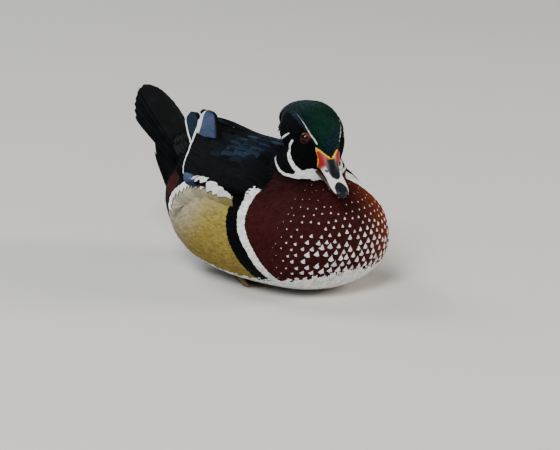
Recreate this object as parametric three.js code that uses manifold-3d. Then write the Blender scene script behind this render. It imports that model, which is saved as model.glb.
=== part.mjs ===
// A drake wood duck at rest, life size: tail raised, head drawn in and turned a little to its right.
// Millimetres, +X towards the breast, +Y to the bird's left, +Z up, origin under the belly on the floor.
import * as THREE from "three";
import { mergeVertices } from "three/addons/utils/BufferGeometryUtils.js";
import Module from "manifold-3d";

const wasm = await Module();
wasm.setup();

// Driving dimensions
const gap = 0.3; // between pieces that touch
const breastX = 140;
const rumpX = -97;
const bodyHalfWidth = 79;
const backHeight = 117; // of the trunk, under the wings
const headCentre = new THREE.Vector3(82, 0.5, 142);
const headYaw = -18; // degrees, negative to the bird's right
const headPitch = 20; // degrees, bill down
const tailRoot = new THREE.Vector3(-78, 2, 80);
const tailPitch = 45;
const tailYaw = 5; // the raised fan leans to the bird's left
const tailLength = 106;
const tailSpread = 27; // degrees between the outermost feathers
const tailFeathers = 12;
const tailWidth = 23; // of one feather
const tailThickness = 0.6;
const tailStep = 1.9; // from one pair of feathers down to the next
const tailRoom = { half: 36, under: 3.8, over: 2.2 }; // what the fan keeps free round its root
const billRoot = 37; // where the horn of the bill leaves the face, ahead of the head's centre
const eyeRadius = 6.2;
const eyeSeat = { x: 15.6, y: 14.9, z: 9.6 };
const lidThickness = 1.1;
const lidStand = 4.2; // of the lids beyond the eye's centre
const nostril = { x: 46, y: 5.2, z: -8.2, half: [3.2, 2, 1.5] };
const neckBase = new THREE.Vector3(74, 0, 88);
const neckFloor = 94; // the neck's lower end, well inside the trunk
const footX = 14; // where the toes spread
const footY = 33;
const vaneThickness = 0.8;
const everywhere = 300; // a block that reaches past the whole bird

// Sections from the breast to the rump: place, back, belly, half width
const bodySections = [
  { x: breastX, top: 52, bottom: 46, half: 0 },
  { x: breastX - 3, top: 73, bottom: 27, half: 30 },
  { x: breastX - 16, top: 90, bottom: 10, half: 55 },
  { x: breastX - 42, top: 103, bottom: 1, half: 72 },
  { x: 60, top: backHeight - 3, bottom: -2, half: bodyHalfWidth },
  { x: 14, top: backHeight, bottom: -2, half: bodyHalfWidth - 1 },
  { x: -30, top: backHeight - 6, bottom: 5, half: 68 },
  { x: -64, top: 99, bottom: 23, half: 49 },
  { x: rumpX + 9, top: 88, bottom: 43, half: 29 },
  { x: rumpX, top: 74, bottom: 60, half: 0 },
];

// The outer face of the two folded wings, from the shoulders to the tips over the tail root
const wingSections = [
  { x: 86, top: 106, bottom: 22, half: 74 },
  { x: 50, top: backHeight + 3, bottom: 8, half: bodyHalfWidth + 3.5 },
  { x: 10, top: backHeight + 6, bottom: 8, half: bodyHalfWidth + 4 },
  { x: -30, top: backHeight + 6, bottom: 12, half: 73 },
  { x: -62, top: backHeight + 9, bottom: 30, half: 55 },
  { x: -84, top: backHeight + 14, bottom: 56, half: 36 },
  { x: -100, top: backHeight + 20, bottom: 84, half: 20 },
];

// Sections of the head in its own frame, from the bill's root to the nape
const headSections = [
  { x: 46, top: -6, bottom: -10, half: 0 },
  { x: 41, top: -1, bottom: -15.5, half: 9 },
  { x: 31, top: 10, bottom: -20, half: 15.3 },
  { x: 15, top: 22.5, bottom: -24, half: 24.5 },
  { x: -3, top: 27, bottom: -26, half: 26.5 },
  { x: -19, top: 24, bottom: -28, half: 24.5 },
  { x: -33, top: 15, bottom: -27, half: 19.5 },
  { x: -43, top: 4, bottom: -20, half: 12 },
  { x: -47, top: -7, bottom: -10, half: 0 },
];

const radians = THREE.MathUtils.degToRad;

// A value of the sections at a share of the way along them, smooth through each one
function between(sections, key, share) {
  const place = THREE.MathUtils.clamp(share, 0, 1) * (sections.length - 1);
  const i = Math.min(Math.floor(place), sections.length - 2);
  const t = place - i;
  const at = (n) => sections[THREE.MathUtils.clamp(n, 0, sections.length - 1)][key];
  const slopeIn = (at(i + 1) - at(i - 1)) / 2;
  const slopeOut = (at(i + 2) - at(i)) / 2;
  const a = t * t;
  const b = a * t;
  const ends = (2 * b - 3 * a + 1) * at(i) + (3 * a - 2 * b) * at(i + 1);
  return ends + (b - 2 * a + t) * slopeIn + (b - a) * slopeOut;
}

// A point of a sectioned form: share along it, angle from straight up towards the bird's right, lift off the surface
function surfacePoint(sections, share, angle, lift, roundness = 2.05) {
  const x = between(sections, "x", share);
  const top = between(sections, "top", share);
  const bottom = between(sections, "bottom", share);
  const half = Math.max(0, between(sections, "half", share));
  const middle = bottom + (top - bottom) * 0.42;
  const c = Math.cos(angle);
  const s = Math.sin(angle);
  const power = 2 / roundness;
  const across = Math.sign(s) * Math.abs(s) ** power;
  const up = Math.sign(c) * Math.abs(c) ** power;
  const reach = c > 0 ? top - middle : middle - bottom;
  return new THREE.Vector3(x, -(half + lift) * across, middle + (reach + lift) * up);
}

// A three.js geometry moved point by point
function warped(geometry, place) {
  const position = geometry.attributes.position;
  const point = new THREE.Vector3();
  for (let i = 0; i < position.count; i++) {
    point.fromBufferAttribute(position, i);
    const moved = place(point);
    position.setXYZ(i, moved.x, moved.y, moved.z);
  }
  return geometry;
}

// A closed solid from a geometry, turned outside out if the warp mirrored it
function solidOf(geometry) {
  const plain = geometry.clone();
  plain.deleteAttribute("normal");
  plain.deleteAttribute("uv");
  const merged = mergeVertices(plain, 1e-4);
  const vertProperties = new Float32Array(merged.attributes.position.array);
  const make = (triVerts) => new wasm.Manifold(new wasm.Mesh({ numProp: 3, vertProperties, triVerts }));
  const triVerts = new Uint32Array(merged.index.array);
  const solid = make(triVerts);
  if (solid.volume() > 0) return solid;
  for (let i = 0; i < triVerts.length; i += 3)
    [triVerts[i], triVerts[i + 1]] = [triVerts[i + 1], triVerts[i]];
  return make(triVerts);
}

const joined = (solids) => solids.reduce((whole, solid) => whole.add(solid));

// The largest closed surface of a solid, without slivers
function largest(solid) {
  const pieces = solid.simplify(0.01).decompose();
  return pieces.reduce((best, piece) => (piece.volume() > best.volume() ? piece : best));
}

// A closed form through sections: a sphere whose poles are the first and the last section
function sectioned(sections, around, along, lift = 0) {
  const ball = new THREE.SphereGeometry(1, around, along).rotateZ(-Math.PI / 2);
  return solidOf(
    warped(ball, (p) => {
      const share = Math.acos(THREE.MathUtils.clamp(p.x, -1, 1)) / Math.PI;
      const point = surfacePoint(sections, share, Math.atan2(-p.y, p.z), share > 0.001 && share < 0.999 ? lift : 0);
      const outward = Math.sign(sections[0].x - sections.at(-1).x) * lift;
      if (share <= 0.001) point.x += outward;
      if (share >= 0.999) point.x -= outward;
      return point;
    }),
  );
}

// A plain block from its lowest to its highest corner
function block(low, high) {
  const size = high.map((value, i) => value - low[i]);
  const middle = high.map((value, i) => (value + low[i]) / 2);
  return solidOf(new THREE.BoxGeometry(...size).translate(...middle));
}

// An ellipsoid by its centre and half sizes
function egg(centre, half, around, along) {
  return solidOf(new THREE.SphereGeometry(1, around, along).scale(...half).translate(...centre));
}

// A thin closed plate: place(along 0 to 1, across -1 to 1, side 0 or 1) gives each of its points
function plate(place, alongSteps, acrossSteps) {
  const slab = new THREE.BoxGeometry(1, 2, 1, alongSteps, acrossSteps, 1).translate(0.5, 0, 0.5);
  return solidOf(warped(slab, (p) => place(p.x, p.y, p.z)));
}

// The same draws every time, each from -1 to 1
let seed = 7;
function draw() {
  seed = (seed * 16807) % 2147483647;
  return (seed / 2147483647) * 2 - 1;
}

// The width of a feather along its length: narrow root, full middle, rounded tip
function featherWidth(s, root, tip) {
  if (s < 0.5) return THREE.MathUtils.lerp(root, 1, Math.sin(s * Math.PI));
  return THREE.MathUtils.lerp(1, tip, (s * 2 - 1) ** 2.6);
}

// How a feather is shaped unless its tier says otherwise: `radius` is that of the surface under it, `curl` how late
// it lifts, and `grow` makes it larger all round, to cut its neighbours clear
const plainVane = { thick: vaneThickness, radius: 72, tip: 0.4, steps: 3, across: 2, curl: 1.3, grow: 0 };

// A feather laid on a surface at(share, angle, lift), `width` millimetres wide. It runs from `from` to `to`,
// each { share, angle, lift } with its angle in degrees.
function vane(at, from, to, width, shape = {}) {
  const { thick, radius, tip, steps, across, curl, grow } = { ...plainVane, ...shape };
  const lerp = THREE.MathUtils.lerp;
  return plate(
    (s, t, k) => {
      const share = lerp(from.share, to.share, s);
      const half = (width / 2) * featherWidth(s, 0.6, tip) + grow;
      const centre = radians(lerp(from.angle, to.angle, s));
      const taper = lerp(thick, thick * 0.6, s);
      const lift = lerp(from.lift, to.lift, s ** curl) - Math.abs(t) * 0.5 + (k - 0.5) * (taper + 2 * grow);
      return at(share, centre + (t * half) / radius, lift);
    },
    steps,
    across,
  );
}

// Head frame to the bird's frame
const headMatrix = new THREE.Matrix4()
  .makeTranslation(headCentre)
  .multiply(new THREE.Matrix4().makeRotationZ(radians(headYaw)))
  .multiply(new THREE.Matrix4().makeRotationY(radians(headPitch)));
const tailMatrix = new THREE.Matrix4()
  .makeTranslation(tailRoot)
  .multiply(new THREE.Matrix4().makeRotationZ(radians(-tailYaw)))
  .multiply(new THREE.Matrix4().makeRotationY(radians(tailPitch)));
const placedBy = (solid, matrix) => solid.transform(matrix.elements);

// Torso

const bodyAt = (lift) => sectioned(bodySections, 28, 18, lift);
const bodyClear = bodyAt(gap);
const underFloor = () => block([-everywhere, -everywhere, -20], [everywhere, everywhere, 0]);

// The whole trunk, flat where it rests, with room for the folded feet
function trunk() {
  const legs = [foot(1, gap), foot(-1, gap), shank(1, gap), shank(-1, gap)];
  return bodyAt(0).subtract(underFloor()).subtract(joined(legs));
}

// Neck

function neckForm(lift) {
  const top = headCentre.clone().add(new THREE.Vector3(-8, -1, -4));
  const ball = new THREE.SphereGeometry(1, 18, 10).rotateX(Math.PI / 2);
  return solidOf(
    warped(ball, (p) => {
      const share = (1 - Math.acos(THREE.MathUtils.clamp(p.z, -1, 1)) / Math.PI) ** 0.9;
      const girth = Math.sqrt(Math.max(0, 1 - p.z * p.z)) ** 0.55;
      const flat = Math.hypot(p.x, p.y) || 1;
      const centre = neckBase.clone().lerp(top, share);
      const wide = 24 + 40 * (1 - share) ** 1.8 + lift;
      const deep = 25 + 23 * (1 - share) ** 1.6 + lift;
      return new THREE.Vector3(
        centre.x + (p.x / flat) * girth * deep,
        centre.y + (p.y / flat) * girth * wide,
        centre.z + (p.z > 0.999 ? lift : 0) - (p.z < -0.999 ? lift : 0),
      );
    }),
  );
}

// Head

const eyeCentre = (side) => [eyeSeat.x, side * eyeSeat.y, eyeSeat.z];

// Both lids round an eye, a raised rim on the head
function lidRim(side) {
  const ring = new THREE.TorusGeometry(eyeRadius - 1, lidThickness, 5, 14);
  ring.scale(1.1, 0.96, 1).rotateX(Math.PI / 2);
  ring.rotateX(side * radians(12)).rotateZ(side * radians(-14));
  return solidOf(ring.translate(eyeSeat.x, side * (eyeSeat.y + lidStand), eyeSeat.z));
}

const upperSections = [
  { x: 28, top: 1, bottom: -14, half: 9 },
  { x: 37, top: 2.6, bottom: -14.4, half: 10.4 },
  { x: 45, top: -3, bottom: -14.8, half: 8.8 },
  { x: 54, top: -8.2, bottom: -15.4, half: 8.2 },
  { x: 64, top: -12.2, bottom: -16.4, half: 8.4 },
  { x: 72, top: -14.3, bottom: -17.6, half: 7.2 },
  { x: 76.5, top: -15.6, bottom: -19.4, half: 4.6 },
  { x: 78, top: -17.5, bottom: -20.5, half: 0 },
];
const lowerSections = [
  { x: 26, top: -16, bottom: -21, half: 8 },
  { x: 37, top: -15.1, bottom: -20, half: 8.6 },
  { x: 50, top: -15.6, bottom: -19.4, half: 7.6 },
  { x: 62, top: -16.6, bottom: -19.8, half: 7.4 },
  { x: 70, top: -17.6, bottom: -20.2, half: 6 },
  { x: 74, top: -18.4, bottom: -20, half: 0 },
];

// A mandible: sections blunt behind, where the head holds it, and rounded at the tip
function mandible(sections, around, along, lift = 0) {
  const start = { ...sections[0], x: sections[0].x - 0.5, half: 0 };
  start.top = start.bottom = (sections[0].top + sections[0].bottom) / 2;
  const turned = [start, ...sections].reverse().map((section) => ({ ...section, x: -section.x }));
  return sectioned(turned, around, along, lift);
}

// Turns a form built towards -X round, so that it points forward
const faceForward = (solid) => solid.transform(new THREE.Matrix4().makeRotationZ(Math.PI).elements);

function upperBill() {
  const hole = (side) => egg([nostril.x, side * nostril.y, nostril.z], nostril.half, 10, 6);
  return faceForward(mandible(upperSections, 20, 16)).subtract(hole(1)).subtract(hole(-1));
}

const lowerBill = () => faceForward(mandible(lowerSections, 16, 10));

// The line of the mouth, cut a little way into the head behind the bill
const mouthCut = () => block([18, -30, -15.4], [80, 30, -14.9]);

// The crest's line from the crown down the nape, in the head's frame, and the points of its surface
const crestPath = new THREE.CatmullRomCurve3([
  new THREE.Vector3(10, 0, 15),
  new THREE.Vector3(-21, 0, 13),
  new THREE.Vector3(-42, 0, -3),
  new THREE.Vector3(-53, 0, -22),
  new THREE.Vector3(-60, 0, -40),
]);
const crestReach = 0.8; // share of the line that the smooth core covers
function crestAt(share, angle, lift) {
  const at = crestPath.getPoint(Math.min(share, 1));
  const forward = crestPath.getTangent(Math.min(share, 1));
  const up = new THREE.Vector3(-forward.z, 0, forward.x);
  const girth = Math.sqrt(Math.max(0, 1 - (2 * Math.min(share / crestReach, 0.93) - 1) ** 2)) ** 0.8;
  const wide = THREE.MathUtils.lerp(24, 8, share) * girth + lift;
  const deep = THREE.MathUtils.lerp(11, 6, share) * girth + lift;
  return at.addScaledVector(up, -Math.cos(angle) * deep).add(new THREE.Vector3(0, -Math.sin(angle) * wide, 0));
}

function crestCore() {
  const ball = new THREE.SphereGeometry(1, 12, 9).rotateZ(-Math.PI / 2);
  return solidOf(
    warped(ball, (p) => {
      const share = (Math.acos(THREE.MathUtils.clamp(p.x, -1, 1)) / Math.PI) * crestReach;
      const ends = 1 - Math.abs(p.x) < 1e-6 ? 0 : 1;
      const core = crestAt(share, Math.atan2(-p.y, p.z), -0.6);
      return ends ? core : crestPath.getPoint(share);
    }),
  );
}

// Long narrow crest feathers in three tiers, the upper ones reaching furthest down the nape
const crestTiers = [
  { count: 4, share: 0.5, reach: 0.36, low: -80, high: 80, width: 13, rise: 0.4 },
  { count: 4, share: 0.3, reach: 0.55, low: -60, high: 60, width: 14, rise: 1 },
  { count: 3, share: 0.12, reach: 0.84, low: -30, high: 30, width: 14, rise: 1.8 },
];
function crestFeathers() {
  const feathers = [];
  for (const tier of crestTiers)
    for (let i = 0; i < tier.count; i++) {
      const angle = THREE.MathUtils.lerp(tier.low, tier.high, i / (tier.count - 1)) + draw() * 3;
      const from = { share: tier.share, angle, lift: -2.4 };
      const end = Math.min(1, tier.share + tier.reach + draw() * 0.03);
      const to = { share: end, angle: angle * 0.8, lift: tier.rise };
      feathers.push(vane(crestAt, from, to, tier.width, { radius: 13, tip: 0.25, steps: 4 }));
    }
  return feathers;
}

// Wings

const wingAt = (share, angle, lift) => surfacePoint(wingSections, share, angle, lift, 2.1);
const wingHem = 58; // degrees from the back's ridge down to the lower edge
const wingEnd = 0.63; // share of the sections at which the smooth part stops

// The smooth part of a folded wing: a shell that its feathers grow from, thin at its edges
function wingShell(side, thick) {
  const skin = new THREE.BoxGeometry(1, 1, 1, 9, 6, 1).translate(0.5, 0.5, 0.5);
  return solidOf(
    warped(skin, (p) => {
      const hem = wingHem - 14 * (1 - p.x) ** 3;
      const angle = radians(THREE.MathUtils.lerp(1.2, hem, p.y)) * side;
      const edge = 1 - 0.75 * (2 * Math.abs(p.y - 0.5)) ** 6;
      const share = p.x * THREE.MathUtils.lerp(wingEnd, wingEnd * 0.82, p.y ** 2);
      return wingAt(share, angle, p.z > 0.5 ? 0 : -thick * edge);
    }),
  );
}

// The scapulars and the secondaries: rows and columns, where a row starts and ends, how far its tips stand off
const wingTiers = [
  { rows: 4, columns: 3, share: 0.03, step: 0.115, reach: 0.19, low: 10, high: 47, width: 25, rise: 1.3 },
  { rows: 1, columns: 6, share: 0.36, step: 0, reach: 0.22, low: 27, high: 55, width: 14, rise: 1 },
];
// Each tertial and primary is shorter than the last and stands lower, by `fall` millimetres
const tertials = { count: 3, share: 0.38, reach: 0.29, shorter: 0.03, low: 8, high: 24, rise: 16, fall: 6.5 };
const primaries = { count: 4, share: 0.5, reach: 0.3, shorter: 0.022, low: 14, high: 34, rise: 4, fall: 1.3 };
const farTertials = { rise: 4, fall: 1.2 }; // those of the left wing lie flatter
const tertialWidth = 17;
const primaryWidth = 11;

function wingFeathers(side) {
  const feathers = [];
  for (const tier of wingTiers)
    for (let row = 0; row < tier.rows; row++)
      for (let column = 0; column < tier.columns; column++) {
        const stagger = (row % 2) * 0.4;
        const place = (column + stagger) / (tier.columns - 0.5);
        const angle = THREE.MathUtils.lerp(tier.low, tier.high, place) + draw();
        const start = tier.share + row * tier.step + draw() * 0.008;
        const from = { share: start, angle: side * angle, lift: -1.6 };
        const to = { share: start + tier.reach, angle: side * (angle - 3), lift: tier.rise + column * 0.12 };
        feathers.push(vane(wingAt, from, to, tier.width));
      }
  for (let i = 0; i < primaries.count; i++) {
    const angle = THREE.MathUtils.lerp(primaries.low, primaries.high, i / (primaries.count - 1));
    const from = { share: primaries.share, angle: side * angle, lift: -2.6 };
    const end = primaries.share + primaries.reach - i * primaries.shorter;
    const to = { share: end, angle: side * (angle - 7), lift: primaries.rise - i * primaries.fall };
    feathers.push(vane(wingAt, from, to, primaryWidth, { radius: 45, tip: 0.3, across: 1 }));
  }
  const raised = side > 0 ? tertials : farTertials;
  for (let i = 0; i < tertials.count; i++) {
    const angle = THREE.MathUtils.lerp(tertials.low, tertials.high, i / (tertials.count - 1));
    const from = { share: tertials.share, angle: side * angle, lift: -1.2 };
    const end = tertials.share + tertials.reach - i * tertials.shorter;
    const to = { share: end, angle: side * (angle + 2), lift: raised.rise - i * raised.fall };
    feathers.push(vane(wingAt, from, to, tertialWidth, { radius: 62, steps: 4, tip: 0.62, curl: 3 }));
  }
  return feathers;
}

// The long flank feathers that lap over the wing's lower edge, from the side bar back to the vent
const fringe = { count: 8, share: 0.45, step: 0.027, reach: 0.075, root: 63, tip: 50, width: 15, rise: 7.5 };
const fringeThickness = 1;
function flankFringe(side, grow = 0) {
  const at = (share, angle, lift) => surfacePoint(bodySections, share, angle, lift);
  const feathers = [];
  for (let i = 0; i < fringe.count; i++) {
    const start = fringe.share + i * fringe.step;
    const from = { share: start, angle: side * (fringe.root + i), lift: -2 };
    const to = { share: start + fringe.reach, angle: side * (fringe.tip + i * 0.8), lift: fringe.rise - i * 0.2 };
    feathers.push(vane(at, from, to, fringe.width, { thick: fringeThickness, steps: 2, across: 1, grow }));
  }
  return feathers;
}

// Tail

// One tail feather in the tail's frame, which points to -X, turned out by `turn` degrees and `drop` below the top one
function tailVane(turn, length, drop) {
  const angle = radians(turn);
  return plate(
    (s, t, k) => {
      const half = (tailWidth / 2) * featherWidth(s, 0.5, 0.34);
      const along = s * length;
      const rise = -0.0009 * along * along - Math.abs(t) * 0.7 - drop;
      const x = along * Math.cos(angle) - t * half * Math.sin(angle);
      const y = along * Math.sin(angle) + t * half * Math.cos(angle);
      return new THREE.Vector3(-x, y, rise + (k - 0.5) * tailThickness);
    },
    3,
    2,
  );
}

// The raised tail: pairs of feathers, each lower, shorter and further out than the last, held by the rump's end
function tailFeatherFan() {
  const feathers = [];
  const pairs = tailFeathers / 2;
  for (let i = 0; i < pairs; i++)
    for (const side of [-1, 1]) {
      const share = (i + 0.5) / pairs;
      const length = tailLength * (1 - 0.3 * share ** 1.6) + draw() * 1.5;
      const drop = tailStep * (i + (side > 0 ? 0.5 : 0));
      feathers.push(tailVane((side * tailSpread * share) / 2, length, drop));
    }
  const root = egg([-13, 0, -5.5], [17, 14, 7], 12, 8);
  return [root, ...feathers];
}

// The soft black feathers under and over the tail's root, on low mounds in the tail's frame: sections and feathers
const mounds = {
  undertail: {
    sections: [
      { x: 26, top: -4, bottom: -20, half: 0 },
      { x: 14, top: 0, bottom: -31, half: 26 },
      { x: -8, top: -6, bottom: -31, half: 26 },
      { x: -34, top: -9, bottom: -28, half: 21 },
      { x: -54, top: -13, bottom: -21, half: 12 },
      { x: -64, top: -16, bottom: -18, half: 0 },
    ],
    columns: 4,
    low: 115,
    high: 245,
    share: 0.36,
    reach: 0.34,
    width: 19,
  },
  uppertail: {
    sections: [
      { x: 10, top: 10, bottom: -2, half: 0 },
      { x: 2, top: 13, bottom: -6, half: 20 },
      { x: -14, top: 10, bottom: -6, half: 20 },
      { x: -32, top: 4.5, bottom: -3, half: 15 },
      { x: -42, top: 1, bottom: -1, half: 0 },
    ],
    columns: 4,
    low: -62,
    high: 62,
    share: 0.3,
    reach: 0.36,
    width: 13,
  },
};
const moundRows = 2;
const moundStep = 0.2; // of the mound's length, from one row of its feathers to the next
const moundForm = (mound, lift = 0) => sectioned(mound.sections, 14, 8, lift);

function moundFeathers(mound) {
  const at = (along, angle, lift) => surfacePoint(mound.sections, along, angle, lift);
  const feathers = [];
  for (let row = 0; row < moundRows; row++)
    for (let column = 0; column < mound.columns; column++) {
      const place = (column + (row % 2) * 0.5) / (mound.columns - 0.5);
      const angle = THREE.MathUtils.lerp(mound.low, mound.high, place) + draw() * 2;
      const start = mound.share + row * moundStep + draw() * 0.01;
      const from = { share: start, angle, lift: -2 };
      const to = { share: Math.min(0.97, start + mound.reach), angle, lift: 2.2 };
      feathers.push(vane(at, from, to, mound.width, { radius: 24, steps: 2 }));
    }
  return feathers;
}

// Feet

// Where the toes' tips lie from the knuckle, outer toe first, and the thickness of each part
const toeTips = [
  [34, 17],
  [49, 2],
  [40, -12],
];
const hindToe = [-13, -6];
const knuckleHeight = 3.4;
const toeRadius = [3, 1.9];
const hindRadius = [2.2, 1.3];
const webDepth = 1.3;
const shankRadius = 3;
const heel = { back: 38, out: 2, up: 10, half: [5, 4, 4] };

// A toe: a round-ended rod between two points, thicker at the first
function rod(from, to, radii, lift) {
  const ball = new THREE.SphereGeometry(1, 8, 7).rotateZ(-Math.PI / 2);
  const start = new THREE.Vector3(...from);
  const reach = new THREE.Vector3(...to).sub(start);
  const length = reach.length();
  const turn = new THREE.Quaternion().setFromUnitVectors(new THREE.Vector3(1, 0, 0), reach.normalize());
  return solidOf(
    warped(ball, (p) => {
      const share = (p.x + 1) / 2;
      const radius = THREE.MathUtils.lerp(radii[0], radii[1], share) + lift;
      const flat = Math.hypot(p.y, p.z) || 1;
      const girth = 1 - Math.abs(p.x) < 1e-6 ? 0 : Math.sqrt(Math.max(0, 1 - p.x ** 6)) * radius;
      const local = new THREE.Vector3(share * length, (p.y / flat) * girth, (p.z / flat) * girth);
      return local.applyQuaternion(turn).add(start);
    }),
  );
}

// One folded foot, flat on the floor: three webbed toes forward and a small one behind
function foot(side, lift = 0) {
  const y = side * footY;
  const knuckle = [footX, y, knuckleHeight];
  const ends = toeTips.map(([ahead, out]) => [footX + ahead, y + side * out, toeRadius[1] - 0.1]);
  const toes = ends.map((end) => rod(knuckle, end, toeRadius, lift));
  const outline = new THREE.Shape([
    new THREE.Vector2(footX - 1, y + side * 2),
    ...ends.map((end) => new THREE.Vector2(end[0] - 4, end[1])),
    new THREE.Vector2(footX - 1, y - side * 2),
  ]);
  const web = solidOf(new THREE.ExtrudeGeometry(outline, { depth: webDepth + lift, bevelEnabled: false }));
  const hind = rod(knuckle, [footX + hindToe[0], y + side * hindToe[1], 2], hindRadius, lift);
  return largest(joined([...toes, web, hind]).subtract(underFloor()));
}

// The shank, laid back along the belly to the heel
function shank(side, lift = 0) {
  const y = side * footY;
  const from = new THREE.Vector3(footX - 3.5, y, 4.6);
  const to = new THREE.Vector3(footX - heel.back, y + side * heel.out, heel.up);
  const ring = new THREE.Shape();
  ring.absellipse(0, 0, shankRadius + lift, shankRadius + lift, 0, 2 * Math.PI);
  const extrudePath = new THREE.LineCurve3(from, to);
  const tube = new THREE.ExtrudeGeometry(ring, { steps: 1, curveSegments: 5, extrudePath });
  return joined([solidOf(tube), egg(to.toArray(), heel.half.map((half) => half + lift), 8, 6)]);
}

// The pieces

const materials = {
  black: { color: 0x101317, roughness: 0.5 },
  crown: { color: 0x0c2a22, roughness: 0.4 },
  chestnut: { color: 0x45161a, roughness: 0.6 },
  flank: { color: 0xb39a5e, roughness: 0.7 },
  wing: { color: 0x15202c, roughness: 0.45 },
  bill: { color: 0xc9c2b4, roughness: 0.35 },
  eye: { color: 0xa02a16, roughness: 0.1 },
  foot: { color: 0x9a8a55, roughness: 0.6 },
};
const model = new THREE.Group();

function addNode(name, solid, finish) {
  const mesh = solid.getMesh();
  const geometry = new THREE.BufferGeometry()
    .setAttribute("position", new THREE.BufferAttribute(mesh.vertProperties, 3))
    .setIndex(new THREE.BufferAttribute(mesh.triVerts, 1));
  geometry.computeVertexNormals();
  const node = new THREE.Mesh(geometry, new THREE.MeshStandardMaterial({ metalness: 0, ...materials[finish] }));
  node.name = name;
  model.add(node);
}

const barFoot = 88; // where the white side bar meets the water line
const waterLine = 40;
const barLean = 24; // degrees that it leans back as it rises
const rumpCut = -62; // where the rump is parted from the trunk
const slab = (from, to) => block([from, -everywhere, -everywhere], [to, everywhere, everywhere]);

// All that lies ahead of the leaning side bar, starting further on by `shift`
function barFront(shift) {
  const tilt = new THREE.Matrix4().makeTranslation(barFoot + shift, 0, waterLine);
  tilt.multiply(new THREE.Matrix4().makeRotationY(radians(-barLean)));
  return placedBy(block([0, -everywhere, -everywhere], [everywhere, everywhere, everywhere]), tilt);
}

// The room that the tail's feathers take, in the tail's frame
function tailBlock(lift) {
  const depth = (tailFeathers / 2) * tailStep;
  const low = [-tailLength - 5, -tailRoom.half - lift, -depth - tailRoom.under - lift];
  return block(low, [6, tailRoom.half + lift, tailRoom.over + lift]);
}

// The bird's own half, with a gap along the back's ridge
function ownHalf(side) {
  const reach = [side * (gap / 2), side * everywhere].sort((a, b) => a - b);
  return block([-everywhere, reach[0], -everywhere], [everywhere, reach[1], everywhere]);
}

const sides = { right: -1, left: 1 };
const neckClear = neckForm(gap);
const headRaw = sectioned(headSections, 22, 16);
const headClear = placedBy(sectioned(headSections, 22, 16, gap), headMatrix);

// Trunk, parted at the side bar and at the rump, with the flank feathers that lap over the wings
const fringes = Object.values(sides).flatMap((side) => flankFringe(-side));
const fringeClear = joined(Object.values(sides).flatMap((side) => flankFringe(-side, gap)));
const whole = trunk();
addNode("breast", largest(whole.intersect(barFront(gap)).subtract(neckClear)), "chestnut");
const middle = joined([whole.subtract(neckClear), ...fringes]);
addNode("torso", largest(middle.subtract(barFront(0)).intersect(slab(rumpCut, everywhere))), "flank");
addNode("rump", largest(whole.intersect(slab(-everywhere, rumpCut - gap)).subtract(fringeClear)), "black");

const billClear = placedBy(faceForward(mandible(lowerSections, 14, 8, gap)), headMatrix);
const belowNeck = block([-everywhere, -everywhere, -everywhere], [everywhere, everywhere, neckFloor]);
const neck = neckForm(0).subtract(headClear).subtract(billClear).subtract(belowNeck);
addNode("neck", largest(neck), "chestnut");

// Head, with lids, the line of the mouth, eyes and bill
const eyeball = (side, radius) => egg(eyeCentre(side), [radius, radius, radius], 14, 10);
let head = joined([headRaw, lidRim(1), lidRim(-1)]);
for (const side of Object.values(sides)) head = head.subtract(eyeball(side, eyeRadius + gap));
head = head.subtract(slab(billRoot, everywhere)).subtract(mouthCut());
addNode("head", largest(placedBy(head, headMatrix)), "crown");
const beyondFace = slab(billRoot + gap, everywhere);
addNode("bill_upper", largest(placedBy(upperBill().intersect(beyondFace), headMatrix)), "bill");
addNode("bill_lower", largest(placedBy(lowerBill().intersect(beyondFace), headMatrix)), "bill");
for (const [name, side] of Object.entries(sides))
  addNode("eye_" + name, placedBy(eyeball(side, eyeRadius), headMatrix), "eye");

const crest = placedBy(joined([crestCore(), ...crestFeathers()]), headMatrix);
const crestNode = largest(crest.subtract(headClear).subtract(neckClear).subtract(bodyClear));
addNode("crest", crestNode, "crown");

// Tail and the feathers over and under its root
const tailSolid = largest(placedBy(joined(tailFeatherFan()), tailMatrix).subtract(bodyClear));
addNode("tail", tailSolid, "black");
const tailClear = placedBy(tailBlock(gap), tailMatrix);
for (const [name, mound] of Object.entries(mounds)) {
  const soft = placedBy(joined([moundForm(mound), ...moundFeathers(mound)]), tailMatrix);
  addNode(name, largest(soft.subtract(bodyClear).subtract(tailClear)), "black");
}

for (const [name, side] of Object.entries(sides)) {
  const wing = joined([wingShell(-side, 5), ...wingFeathers(-side)]);
  const overTail = placedBy(moundForm(mounds.uppertail, 3), tailMatrix);
  const clear = [bodyClear, neckClear, fringeClear, tailClear, overTail];
  const cut = clear.reduce((solid, other) => solid.subtract(other), wing);
  addNode("wing_" + name, largest(cut.intersect(ownHalf(side))), "wing");
  addNode("foot_" + name, foot(side), "foot");
  addNode("shank_" + name, shank(side), "foot");
}

export default model;
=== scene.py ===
import math
import bpy
import numpy as np
from mathutils import Matrix, Vector
from mathutils.bvhtree import BVHTree
from mathutils.kdtree import KDTree


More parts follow.
